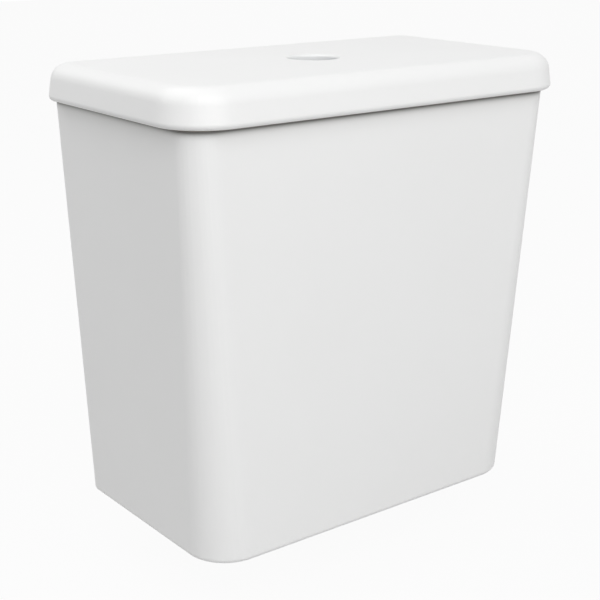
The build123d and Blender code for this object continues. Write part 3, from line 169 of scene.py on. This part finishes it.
# Variation of the materials
MOTTLE_DETAIL = 4.0
GRAIN_DETAIL = 2.0
PLASTIC_DARK_SHARE = 0.93
RUBBER_DUST = 0.035
METAL_DARK_SHARE = 0.82
METAL_MARKS_SCALE = 700.0
METAL_MARKS_DETAIL = 3.0
TUBE_SCATTER_SHARE = 0.35
TUBE_SCATTER_REACH = (0.004, 0.004, 0.004)

# Sockets of a Mix node, which share their names
FLOAT_A = 2
FLOAT_B = 3
COLOUR_A = 6
COLOUR_B = 7
COLOUR_RESULT = 2


# Shader groups


def group_socket(group, name, direction, kind):
    """Adds a named socket to a node group."""
    group.interface.new_socket(name=name, in_out=direction, socket_type=kind)


def mottle_group():
    """Slow variation of colour and roughness over a surface, as moulding and firing leave."""
    group = bpy.data.node_groups.new("Mottle", "ShaderNodeTree")
    group_socket(group, "Scale", "INPUT", "NodeSocketFloat")
    group_socket(group, "Light colour", "INPUT", "NodeSocketColor")
    group_socket(group, "Dark colour", "INPUT", "NodeSocketColor")
    group_socket(group, "Low roughness", "INPUT", "NodeSocketFloat")
    group_socket(group, "High roughness", "INPUT", "NodeSocketFloat")
    group_socket(group, "Colour", "OUTPUT", "NodeSocketColor")
    group_socket(group, "Roughness", "OUTPUT", "NodeSocketFloat")
    nodes, links = group.nodes, group.links
    inputs = nodes.new("NodeGroupInput")
    outputs = nodes.new("NodeGroupOutput")
    place = nodes.new("ShaderNodeTexCoord")
    noise = nodes.new("ShaderNodeTexNoise")
    noise.inputs["Detail"].default_value = MOTTLE_DETAIL
    links.new(place.outputs["Object"], noise.inputs["Vector"])
    links.new(inputs.outputs["Scale"], noise.inputs["Scale"])
    blend = nodes.new("ShaderNodeMix")
    blend.data_type = "RGBA"
    links.new(noise.outputs["Fac"], blend.inputs["Factor"])
    links.new(inputs.outputs["Light colour"], blend.inputs[COLOUR_A])
    links.new(inputs.outputs["Dark colour"], blend.inputs[COLOUR_B])
    links.new(blend.outputs[COLOUR_RESULT], outputs.inputs["Colour"])
    spread = nodes.new("ShaderNodeMapRange")
    links.new(noise.outputs["Fac"], spread.inputs["Value"])
    links.new(inputs.outputs["Low roughness"], spread.inputs["To Min"])
    links.new(inputs.outputs["High roughness"], spread.inputs["To Max"])
    links.new(spread.outputs["Result"], outputs.inputs["Roughness"])
    return group


def grain_group():
    """Fine grain with a slower swell under it, as a height for a bump."""
    group = bpy.data.node_groups.new("Grain", "ShaderNodeTree")
    group_socket(group, "Grain scale", "INPUT", "NodeSocketFloat")
    group_socket(group, "Swell scale", "INPUT", "NodeSocketFloat")
    group_socket(group, "Swell share", "INPUT", "NodeSocketFloat")
    group_socket(group, "Height", "OUTPUT", "NodeSocketFloat")
    nodes, links = group.nodes, group.links
    inputs = nodes.new("NodeGroupInput")
    outputs = nodes.new("NodeGroupOutput")
    place = nodes.new("ShaderNodeTexCoord")
    waves = []
    for name in ("Grain scale", "Swell scale"):
        noise = nodes.new("ShaderNodeTexNoise")
        noise.inputs["Detail"].default_value = GRAIN_DETAIL
        links.new(place.outputs["Object"], noise.inputs["Vector"])
        links.new(inputs.outputs[name], noise.inputs["Scale"])
        waves.append(noise)
    blend = nodes.new("ShaderNodeMix")
    blend.data_type = "FLOAT"
    links.new(inputs.outputs["Swell share"], blend.inputs["Factor"])
    links.new(waves[0].outputs["Fac"], blend.inputs[FLOAT_A])
    links.new(waves[1].outputs["Fac"], blend.inputs[FLOAT_B])
    links.new(blend.outputs[0], outputs.inputs["Height"])
    return group


MOTTLE = mottle_group()
GRAIN = grain_group()


def placed_group(nodes, group, **values):
    """Puts a group in a material and sets its inputs, named with underscores for spaces."""
    node = nodes.new("ShaderNodeGroup")
    node.node_tree = group
    for name, value in values.items():
        node.inputs[name.replace("_", " ")].default_value = value
    return node


def new_material(name):
    """Material with an empty Principled shader, and its nodes, links and shader."""
    made = bpy.data.materials.new(name)
    made.use_nodes = True
    nodes, links = made.node_tree.nodes, made.node_tree.links
    return made, nodes, links, nodes["Principled BSDF"]


def add_bump(nodes, links, shader, height, strength, distance):
    """Feeds a height into the shader's normal."""
    bump = nodes.new("ShaderNodeBump")
    bump.inputs["Strength"].default_value = strength
    bump.inputs["Distance"].default_value = distance
    links.new(height, bump.inputs["Height"])
    links.new(bump.outputs["Normal"], shader.inputs["Normal"])


# Materials


def seam_painted_shade(nodes, links, place, split):
    """Painted shade on the outside of the tank under the lid's edge, standing in for the shadow of the
    lid's overhang, from none to full with height.
    """
    level = nodes.new("ShaderNodeVectorMath")
    level.operation = "MULTIPLY"
    level.inputs[1].default_value = (1.0, 1.0, 0.0)
    links.new(place.outputs["Object"], level.inputs[0])
    turned = nodes.new("ShaderNodeVectorMath")
    turned.operation = "DOT_PRODUCT"
    links.new(level.outputs["Vector"], turned.inputs[0])
    links.new(place.outputs["Normal"], turned.inputs[1])
    outside = nodes.new("ShaderNodeMath")
    outside.operation = "GREATER_THAN"
    outside.inputs[1].default_value = OUTWARD_LEAST
    links.new(turned.outputs["Value"], outside.inputs[0])
    rise = nodes.new("ShaderNodeMapRange")
    rise.inputs["From Min"].default_value = RIM_HEIGHT - PAINTED_SHADE_ENDS_BELOW
    rise.inputs["From Max"].default_value = RIM_HEIGHT - PAINTED_SHADE_FULL_BELOW
    links.new(split.outputs["Z"], rise.inputs["Value"])
    fade = nodes.new("ShaderNodeMath")
    fade.operation = "POWER"
    fade.inputs[1].default_value = PAINTED_SHADE_FADE
    links.new(rise.outputs["Result"], fade.inputs[0])
    both = nodes.new("ShaderNodeMath")
    both.operation = "MULTIPLY"
    links.new(fade.outputs[0], both.inputs[0])
    links.new(outside.outputs[0], both.inputs[1])
    return both.outputs[0]


def glazed_china(name, bare_below, bare_above, painted_seam):
    """White vitreous china under a clear glaze, bare below one height and above another, with painted shade
    in the seam under the lid or not.
    """
    made, nodes, links, shader = new_material(name)
    mottle = placed_group(
        nodes,
        MOTTLE,
        Scale=11.0,
        Light_colour=CHINA_LIGHT,
        Dark_colour=CHINA_DARK,
        Low_roughness=0.38,
        High_roughness=0.50,
    )
    place = nodes.new("ShaderNodeTexCoord")
    split = nodes.new("ShaderNodeSeparateXYZ")
    links.new(place.outputs["Object"], split.inputs["Vector"])
    low = nodes.new("ShaderNodeMath")
    low.operation = "LESS_THAN"
    low.inputs[1].default_value = bare_below
    links.new(split.outputs["Z"], low.inputs[0])
    high = nodes.new("ShaderNodeMath")
    high.operation = "GREATER_THAN"
    high.inputs[1].default_value = bare_above
    links.new(split.outputs["Z"], high.inputs[0])
    bare = nodes.new("ShaderNodeMath")
    bare.operation = "MAXIMUM"
    links.new(low.outputs[0], bare.inputs[0])
    links.new(high.outputs[0], bare.inputs[1])
    colour = nodes.new("ShaderNodeMix")
    colour.data_type = "RGBA"
    colour.inputs[COLOUR_B].default_value = BISCUIT_COLOUR
    links.new(bare.outputs[0], colour.inputs["Factor"])
    links.new(mottle.outputs["Colour"], colour.inputs[COLOUR_A])
    # Painted shade: darkens the tank's outside just under the lid's edge, where the lid's overhang shades
    # it
    if painted_seam:
        painted_shade = nodes.new("ShaderNodeMix")
        painted_shade.data_type = "RGBA"
        painted_shade.inputs[COLOUR_B].default_value = PAINTED_SHADE_COLOUR
        links.new(seam_painted_shade(nodes, links, place, split), painted_shade.inputs["Factor"])
        links.new(colour.outputs[COLOUR_RESULT], painted_shade.inputs[COLOUR_A])
        links.new(painted_shade.outputs[COLOUR_RESULT], shader.inputs["Base Color"])
    else:
        links.new(colour.outputs[COLOUR_RESULT], shader.inputs["Base Color"])
    roughness = nodes.new("ShaderNodeMix")
    roughness.data_type = "FLOAT"
    roughness.inputs[FLOAT_B].default_value = BISCUIT_ROUGHNESS
    links.new(bare.outputs[0], roughness.inputs["Factor"])
    links.new(mottle.outputs["Roughness"], roughness.inputs[FLOAT_A])
    links.new(roughness.outputs[0], shader.inputs["Roughness"])
    glaze = nodes.new("ShaderNodeMath")
    glaze.operation = "MULTIPLY_ADD"
    glaze.inputs[1].default_value = -GLAZE_SHARE
    glaze.inputs[2].default_value = GLAZE_SHARE
    links.new(bare.outputs[0], glaze.inputs[0])
    links.new(glaze.outputs[0], shader.inputs["Coat Weight"])
    shader.inputs["Coat Roughness"].default_value = GLAZE_ROUGHNESS
    grain = placed_group(nodes, GRAIN, Grain_scale=260.0, Swell_scale=16.0, Swell_share=0.92)
    add_bump(nodes, links, shader, grain.outputs["Height"], strength=0.10, distance=0.004)
    return made


def moulded_plastic(name, colour, low=0.34, high=0.46):
    """Injection-moulded plastic with a faint grain."""
    made, nodes, links, shader = new_material(name)
    dark = [channel * PLASTIC_DARK_SHARE for channel in colour]
    mottle = placed_group(
        nodes,
        MOTTLE,
        Scale=55.0,
        Light_colour=(*colour, 1.0),
        Dark_colour=(*dark, 1.0),
        Low_roughness=low,
        High_roughness=high,
    )
    links.new(mottle.outputs["Colour"], shader.inputs["Base Color"])
    links.new(mottle.outputs["Roughness"], shader.inputs["Roughness"])
    grain = placed_group(nodes, GRAIN, Grain_scale=2400.0, Swell_scale=140.0, Swell_share=0.45)
    add_bump(nodes, links, shader, grain.outputs["Height"], strength=0.12, distance=0.0004)
    return made


def moulded_rubber(name, colour):
    """Soft rubber, dull and slightly dusty."""
    made, nodes, links, shader = new_material(name)
    dusty = [channel + RUBBER_DUST for channel in colour]
    mottle = placed_group(
        nodes,
        MOTTLE,
        Scale=90.0,
        Light_colour=(*colour, 1.0),
        Dark_colour=(*dusty, 1.0),
        Low_roughness=0.55,
        High_roughness=0.78,
    )
    links.new(mottle.outputs["Colour"], shader.inputs["Base Color"])
    links.new(mottle.outputs["Roughness"], shader.inputs["Roughness"])
    grain = placed_group(nodes, GRAIN, Grain_scale=3000.0, Swell_scale=420.0, Swell_share=0.4)
    add_bump(nodes, links, shader, grain.outputs["Height"], strength=0.25, distance=0.0004)
    return made


def soft_tube_plastic():
    """Milky flexible tube that lets some light in."""
    made = moulded_plastic("soft_milky_tube", (0.72, 0.75, 0.74), low=0.26, high=0.36)
    shader = made.node_tree.nodes["Principled BSDF"]
    shader.inputs["Subsurface Weight"].default_value = TUBE_SCATTER_SHARE
    shader.inputs["Subsurface Radius"].default_value = TUBE_SCATTER_REACH
    return made


def worked_metal(name, colour, stretch, low, high):
    """Bare metal with fine marks that run round or along it."""
    made, nodes, links, shader = new_material(name)
    shader.inputs["Metallic"].default_value = 1.0
    dark = [channel * METAL_DARK_SHARE for channel in colour]
    mottle = placed_group(
        nodes,
        MOTTLE,
        Scale=160.0,
        Light_colour=(*colour, 1.0),
        Dark_colour=(*dark, 1.0),
        Low_roughness=low,
        High_roughness=high,
    )
    links.new(mottle.outputs["Colour"], shader.inputs["Base Color"])
    links.new(mottle.outputs["Roughness"], shader.inputs["Roughness"])
    place = nodes.new("ShaderNodeTexCoord")
    turned = nodes.new("ShaderNodeMapping")
    turned.inputs["Scale"].default_value = stretch
    links.new(place.outputs["Object"], turned.inputs["Vector"])
    marks = nodes.new("ShaderNodeTexNoise")
    marks.inputs["Scale"].default_value = METAL_MARKS_SCALE
    marks.inputs["Detail"].default_value = METAL_MARKS_DETAIL
    links.new(turned.outputs["Vector"], marks.inputs["Vector"])
    add_bump(nodes, links, shader, marks.outputs["Fac"], strength=0.18, distance=0.0003)
    return made


TANK_CHINA = glazed_china("glazed_china_tank", UNGLAZED_SKIN, RIM_HEIGHT - UNGLAZED_SKIN, True)
LID_CHINA = glazed_china("glazed_china_lid", LID_UNDERSIDE + UNGLAZED_SKIN, ABOVE_ALL, False)
WHITE_PLASTIC = moulded_plastic("white_moulding", (0.80, 0.80, 0.77))
GREY_PLASTIC = moulded_plastic("grey_moulding", (0.26, 0.28, 0.30))
BLUE_PLASTIC = moulded_plastic("blue_moulding", (0.03, 0.10, 0.28))
GREEN_PLASTIC = moulded_plastic("green_moulding", (0.03, 0.20, 0.09))
BLACK_RUBBER = moulded_rubber("black_rubber_seal", (0.022, 0.022, 0.023))
RED_RUBBER = moulded_rubber("red_silicone_seal", (0.32, 0.035, 0.022))
SOFT_TUBE = soft_tube_plastic()
BRASS = worked_metal("plain_brass", (0.62, 0.43, 0.16), stretch=(1.0, 1.0, 9.0), low=0.24, high=0.40)
ZINC_STEEL = worked_metal(
    "zinc_plated_steel", (0.60, 0.61, 0.63), stretch=(1.0, 1.0, 3.0), low=0.26, high=0.42
)

# Which finish each piece has, with its slot in the record and its edge
FINISHES = (
    (TANK_CHINA, "glazed_china", CHINA_EDGE, ("cistern_tank",)),
    (LID_CHINA, "glazed_china", LID_EDGE, ("cistern_lid",)),
    (
        WHITE_PLASTIC,
        "white_plastic",
        MOULDING_EDGE,
        (
            "flush_valve_base",
            "flush_back_nut",
            "flush_valve_cage",
            "overflow_tube",
            "actuator_bridge",
            "partial_flush_float",
            "inlet_lock_nut",
            "riser_tube",
            "fill_valve_head",
            "float_cup",
            "refill_clip",
            "blanking_plug",
            "blanking_plug_nut",
        ),
    ),
    (
        GREY_PLASTIC,
        "grey_plastic",
        MOULDING_EDGE,
        (
            "seal_retainer",
            "lift_yoke",
            "full_lift_lever",
            "half_lift_lever",
            "inlet_filter",
            "riser_lock_ring",
            "fill_valve_cap",
            "float_arm",
        ),
    ),
    (BLUE_PLASTIC, "blue_plastic", MOULDING_EDGE, ("full_flush_plunger",)),
    (GREEN_PLASTIC, "green_plastic", MOULDING_EDGE, ("half_flush_plunger",)),
    (
        BLACK_RUBBER,
        "black_rubber",
        RUBBER_EDGE,
        (
            "lid_pads",
            "base_seal_washer",
            "doughnut_washer",
            "inlet_seal_washer",
            "valve_diaphragm",
            "bolt_seal_washers",
            "blanking_plug_washer",
        ),
    ),
    (RED_RUBBER, "red_rubber", RUBBER_EDGE, ("flush_seal",)),
    (BRASS, "brass", METAL_EDGE, ("bolt_nuts",)),
    (
        ZINC_STEEL,
        "zinc_steel",
        METAL_EDGE,
        ("lift_lever_pins", "float_arm_pin", "bolt_head_washers", "bolt_outer_washers"),
    ),
)


# Pieces from the solids


def clean_form(node):
    """The solid's mesh with its doubles merged and its flats joined."""
    source = frame["nodes"][node].data
    form = bmesh.new()
    points = [form.verts.new(vertex.co) for vertex in source.vertices]
    for polygon in source.polygons:
        form.faces.new([points[index] for index in polygon.vertices])
    bmesh.ops.remove_doubles(form, verts=form.verts, dist=MERGE_DISTANCE)
    bmesh.ops.dissolve_limit(form, angle_limit=FLAT_ANGLE, verts=form.verts, edges=form.edges)
    return form


def piece_from(form, name):
    """Object at the origin, with the mesh of a bmesh form and smooth faces."""
    mesh = bpy.data.meshes.new(name)
    form.to_mesh(mesh)
    form.free()
    for polygon in mesh.polygons:
        polygon.use_smooth = True
    made = bpy.data.objects.new(name, mesh)
    bpy.context.scene.collection.objects.link(made)
    return made


def folded(piece):
    """Area of the piece's triangles over that of its faces, more than one where a rounding folds a face."""
    ready = piece.evaluated_get(bpy.context.evaluated_depsgraph_get())
    form = bmesh.new()
    form.from_mesh(ready.to_mesh())
    ready.to_mesh_clear()
    whole = sum(face.calc_area() for face in form.faces)
    cut = 0.0
    for corners in form.calc_loop_triangles():
        first, second, third = [corner.vert.co for corner in corners]
        cut += (second - first).cross(third - first).length / 2
    form.free()
    return cut / whole


def round_edges(piece, width):
    """Rounds the piece's sharp edges where that folds no face, and keeps its flats flat."""
    bevel = piece.modifiers.new("Edge", "BEVEL")
    bevel.limit_method = "ANGLE"
    bevel.angle_limit = SHARP_ANGLE
    bevel.width = width
    bevel.segments = EDGE_STEPS
    if folded(piece) > MOST_FOLDED:
        bevel.use_clamp_overlap = False
    if folded(piece) > MOST_FOLDED:
        piece.modifiers.remove(bevel)
        piece.data.set_sharp_from_angle(angle=SHARP_ANGLE)
    shade = piece.modifiers.new("Flats", "WEIGHTED_NORMAL")
    shade.keep_sharp = True


def dress(piece, node, material):
    """Gives the piece its material, and lets it stand for a node on the node's body."""
    piece.data.materials.clear()
    piece.data.materials.append(material)
    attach(piece, frame["nodes"][node]["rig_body"])
    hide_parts(node)


def finished_solid(node, material, edge):
    """The node's solid with rounded edges, in its finish."""
    piece = piece_from(clean_form(node), node + "_finished")
    round_edges(piece, edge)
    dress(piece, node, material)


# Wound wire


def tree_node(tree, kind, **inputs):
    """Geometry node with some of its inputs set, named with underscores for spaces."""
    node = tree.nodes.new(kind)
    for name, value in inputs.items():
        node.inputs[name.replace("_", " ")].default_value = value
    return node


def wound_wire_tree():
    """Wire of any section wound round an upright axis: a spring's coil or a thread's ridge."""
    tree = bpy.data.node_groups.new("Wound wire", "GeometryNodeTree")
    tree.is_modifier = True
    group_socket(tree, "Turns", "INPUT", "NodeSocketFloat")
    group_socket(tree, "Coil radius", "INPUT", "NodeSocketFloat")
    group_socket(tree, "Height", "INPUT", "NodeSocketFloat")
    group_socket(tree, "Wire radius", "INPUT", "NodeSocketFloat")
    group_socket(tree, "Wire sides", "INPUT", "NodeSocketInt")
    group_socket(tree, "Steps in a turn", "INPUT", "NodeSocketInt")
    group_socket(tree, "Material", "INPUT", "NodeSocketMaterial")
    group_socket(tree, "Wire", "OUTPUT", "NodeSocketGeometry")
    links = tree.links
    inputs = tree.nodes.new("NodeGroupInput")
    outputs = tree.nodes.new("NodeGroupOutput")
    spiral = tree.nodes.new("GeometryNodeCurveSpiral")
    links.new(inputs.outputs["Steps in a turn"], spiral.inputs["Resolution"])
    links.new(inputs.outputs["Turns"], spiral.inputs["Rotations"])
    links.new(inputs.outputs["Coil radius"], spiral.inputs["Start Radius"])
    links.new(inputs.outputs["Coil radius"], spiral.inputs["End Radius"])
    links.new(inputs.outputs["Height"], spiral.inputs["Height"])
    section = tree.nodes.new("GeometryNodeCurvePrimitiveCircle")
    links.new(inputs.outputs["Wire sides"], section.inputs["Resolution"])
    links.new(inputs.outputs["Wire radius"], section.inputs["Radius"])
    swept = tree_node(tree, "GeometryNodeCurveToMesh", Fill_Caps=True)
    links.new(spiral.outputs["Curve"], swept.inputs["Curve"])
    links.new(section.outputs["Curve"], swept.inputs["Profile Curve"])
    plain = tree.nodes.new("GeometryNodeRealizeInstances")
    links.new(swept.outputs["Mesh"], plain.inputs["Geometry"])
    dressed = tree.nodes.new("GeometryNodeSetMaterial")
    links.new(plain.outputs["Geometry"], dressed.inputs["Geometry"])
    links.new(inputs.outputs["Material"], dressed.inputs["Material"])
    links.new(dressed.outputs["Geometry"], outputs.inputs["Wire"])
    return tree


WOUND_WIRE = wound_wire_tree()


def grown(tree, values, place):
    """Plain mesh that a tree makes from named values, moved to its place."""
    carrier = bpy.data.objects.new("carrier", bpy.data.meshes.new("carrier"))
    bpy.context.scene.collection.objects.link(carrier)
    modifier = carrier.modifiers.new("Tree", "NODES")
    modifier.node_group = tree
    for item in tree.interface.items_tree:
        if item.in_out == "INPUT":
            modifier[item.identifier] = values[item.name]
    ready = carrier.evaluated_get(bpy.context.evaluated_depsgraph_get())
    mesh = bpy.data.meshes.new_from_object(ready)
    bpy.data.objects.remove(carrier)
    mesh.transform(Matrix.Translation(place))
    return mesh


def thread_ridge(axis, low, high, outer, depth, pitch, material):
    """Ridge of a thread whose crest is at the outer radius."""
    height = high - low - 2 * depth
    values = {
        "Turns": height / pitch,
        "Coil radius": outer - depth,
        "Height": height,
        "Wire radius": depth,
        "Wire sides": THREAD_SIDES,
        "Steps in a turn": THREAD_STEPS,
        "Material": material,
    }
    return grown(WOUND_WIRE, values, (*axis, low + depth))


def narrow(form, axis, outer, depth, low, high):
    """Takes a plain cylinder of the form down to the thread's root."""
    for vertex in form.verts:
        away = Vector((vertex.co.x - axis[0], vertex.co.y - axis[1], 0))
        in_band = low - BAND_REACH <= vertex.co.z <= high + BAND_REACH
        if in_band and abs(away.length - outer) < RADIUS_REACH:
            vertex.co -= away.normalized() * depth


def spring(node, plunger):
    """Coil between the bridge's plate and the plunger's head, as it stands at rest."""
    low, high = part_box(node)
    centre = (low + high) / 2
    length = high.z - low.z
    values = {
        "Turns": SPRING_TURNS,
        "Coil radius": (high.x - low.x) / 2 - SPRING_WIRE_RADIUS,
        "Height": length - 2 * SPRING_WIRE_RADIUS,
        "Wire radius": SPRING_WIRE_RADIUS,
        "Wire sides": WIRE_SIDES,
        "Steps in a turn": WIRE_STEPS,
        "Material": ZINC_STEEL,
    }
    mesh = grown(WOUND_WIRE, values, (centre.x, centre.y, low.z + SPRING_WIRE_RADIUS))
    form = bmesh.new()
    form.from_mesh(mesh)
    piece = piece_from(form, node + "_coil")
    dress(piece, node, ZINC_STEEL)
    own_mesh(piece)


def threaded(node, material, edge, threads):
    """Finished solid whose plain cylinders become threads: (axis, low, high, outer, depth, pitch) each."""
    form = clean_form(node)
    for axis, low, high, outer, depth, pitch in threads:
        narrow(form, axis, outer, depth, low, high)
    piece = piece_from(form, node + "_finished")
    round_edges(piece, edge)
    ready = piece.evaluated_get(bpy.context.evaluated_depsgraph_get())
    rounded = bpy.data.meshes.new_from_object(ready)
    piece.modifiers.clear()
    form = bmesh.new()
    form.from_mesh(rounded)
    for axis, low, high, outer, depth, pitch in threads:
        form.from_mesh(thread_ridge(axis, low, high, outer, depth, pitch, material))
    form.to_mesh(piece.data)
    form.free()
    dress(piece, node, material)


def threaded_bolts():
    """Both coupling bolts with their threads below the necks."""
    low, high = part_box("coupling_bolts")
    head_radius = high.y
    places = (low.x + head_radius, high.x - head_radius)
    neck_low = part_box("bolt_nuts")[0].z - NECK_LENGTH
    threads = []
    for x in places:
        threads.append(((x, 0.0), low.z, neck_low, BOLT_RADIUS, BOLT_THREAD_DEPTH, BOLT_PITCH))
    threaded("coupling_bolts", BRASS, METAL_EDGE, threads)


def threaded_shank():
    """Inlet shank with its thread below the lock nut."""
    low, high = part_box("inlet_shank")
    axis = ((low.x + high.x) / 2, (low.y + high.y) / 2)
    neck_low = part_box("inlet_lock_nut")[0].z - NECK_LENGTH
    thread = (axis, low.z, neck_low, INLET_RADIUS, INLET_THREAD_DEPTH, INLET_PITCH)
    threaded("inlet_shank", WHITE_PLASTIC, MOULDING_EDGE, [thread])


def threaded_level_screw():
    """Water level screw with its thread below the arm."""
    low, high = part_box("water_level_screw")
    axis = ((low.x + high.x) / 2, (low.y + high.y) / 2)
    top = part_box("float_arm")[0].z - SCREW_PLAIN_BELOW_ARM
    thread = (axis, low.z, top, SCREW_RADIUS, SCREW_THREAD_DEPTH, SCREW_PITCH)
    threaded("water_level_screw", GREY_PLASTIC, MOULDING_EDGE, [thread])


def refill_tube():
    """Soft tube on one smooth line through its route's corners."""
    curve = bpy.data.curves.new("refill_tube_soft", "CURVE")
    curve.dimensions = "3D"
    curve.bevel_depth = REFILL_RADIUS
    curve.bevel_resolution = REFILL_SIDE_STEPS
    curve.use_fill_caps = True
    spline = curve.splines.new("NURBS")
    spline.points.add(len(REFILL_ROUTE) - 1)
    for point, place in zip(spline.points, REFILL_ROUTE):
        point.co = (*place, 1.0)
    spline.order_u = REFILL_ORDER
    spline.use_endpoint_u = True
    spline.resolution_u = REFILL_STEPS
    piece = bpy.data.objects.new("refill_tube_soft", curve)
    bpy.context.scene.collection.objects.link(piece)
    curve.materials.append(SOFT_TUBE)
    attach(piece, "tank")
    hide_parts("refill_tube")


# Stage


def white_to_camera(nodes, links, shader, output):
    """Shows plain white to the camera and in reflections, and the given shader to all other rays."""
    path = nodes.new("ShaderNodeLightPath")
    seen = nodes.new("ShaderNodeMath")
    seen.operation = "MAXIMUM"
    links.new(path.outputs["Is Camera Ray"], seen.inputs[0])
    links.new(path.outputs["Is Glossy Ray"], seen.inputs[1])
    either = nodes.new("ShaderNodeMath")
    either.operation = "MAXIMUM"
    links.new(seen.outputs[0], either.inputs[0])
    links.new(path.outputs["Is Transmission Ray"], either.inputs[1])
    mix = nodes.new("ShaderNodeMixShader")
    links.new(either.outputs[0], mix.inputs[0])
    links.new(shader, mix.inputs[1])
    links.new(mix.outputs[0], output.inputs["Surface"])
    return mix


def floor():
    """Pale floor just under the lowest bolt, white to the camera but for a trace of shadow."""
    form = bmesh.new()
    bmesh.ops.create_grid(form, x_segments=1, y_segments=1, size=FLOOR_SIDE / 2)
    bmesh.ops.translate(form, verts=form.verts, vec=(0, 0, cad_box[0].z - FLOOR_GAP))
    ground = piece_from(form, "floor")
    made = bpy.data.materials.new("pale_floor")
    made.use_nodes = True
    nodes, links = made.node_tree.nodes, made.node_tree.links
    nodes.clear()
    output = nodes.new("ShaderNodeOutputMaterial")
    matt = nodes.new("ShaderNodeBsdfDiffuse")
    matt.inputs["Color"].default_value = FLOOR_COLOUR
    mix = white_to_camera(nodes, links, matt.outputs[0], output)
    white = nodes.new("ShaderNodeEmission")
    shown = nodes.new("ShaderNodeMixShader")
    shown.inputs[0].default_value = SHADOW_SHARE
    links.new(white.outputs[0], shown.inputs[1])
    links.new(matt.outputs[0], shown.inputs[2])
    links.new(shown.outputs[0], mix.inputs[2])
    ground.data.materials.append(made)


def room():
    """Even pale room light, shown as white where it is seen."""
    world = bpy.data.worlds.new("pale_room")
    bpy.context.scene.world = world
    world.use_nodes = True
    nodes, links = world.node_tree.nodes, world.node_tree.links
    nodes.clear()
    output = nodes.new("ShaderNodeOutputWorld")
    level = nodes.new("ShaderNodeBackground")
    level.inputs["Strength"].default_value = ROOM_LEVEL
    level.inputs["Color"].default_value = WHITE
    mix = white_to_camera(nodes, links, level.outputs[0], output)
    white = nodes.new("ShaderNodeBackground")
    white.inputs["Color"].default_value = WHITE
    links.new(white.outputs[0], mix.inputs[2])


def soft_lamp(name, place, side, watts):
    """Square lamp that faces the middle of the cistern."""
    lamp = bpy.data.lights.new(name, "AREA")
    lamp.size = side
    lamp.energy = watts
    holder = bpy.data.objects.new(name, lamp)
    middle = (cad_box[0] + cad_box[1]) / 2
    holder.location = place
    holder.rotation_euler = (middle - Vector(place)).to_track_quat("-Z", "Y").to_euler()
    bpy.context.scene.collection.objects.link(holder)


def camera():
    """Camera where the photograph was taken from."""
    lens = bpy.data.cameras.new("camera")
    lens.sensor_width = SENSOR_MM
    lens.lens = FOCAL_PX / PHOTO_SIDE_PX * SENSOR_MM
    holder = bpy.data.objects.new("camera", lens)
    holder.location = CAMERA_PLACE
    holder.rotation_euler = (math.pi / 2 - CAMERA_PITCH, 0, -CAMERA_YAW)
    bpy.context.scene.collection.objects.link(holder)
    bpy.context.scene.camera = holder


camera()
refill_tube()
for material, slot, edge, members in FINISHES:
    for member in members:
        finished_solid(member, material, edge)
spring("full_plunger_spring", "full_plunger")
spring("half_plunger_spring", "half_plunger")
threaded_bolts()
threaded_shank()
threaded_level_screw()
floor()
room()
soft_lamp("key", KEY_PLACE, KEY_SIDE, KEY_WATTS)
soft_lamp("top", TOP_PLACE, TOP_SIDE, TOP_WATTS)
bpy.context.scene.view_settings.view_transform = "Standard"
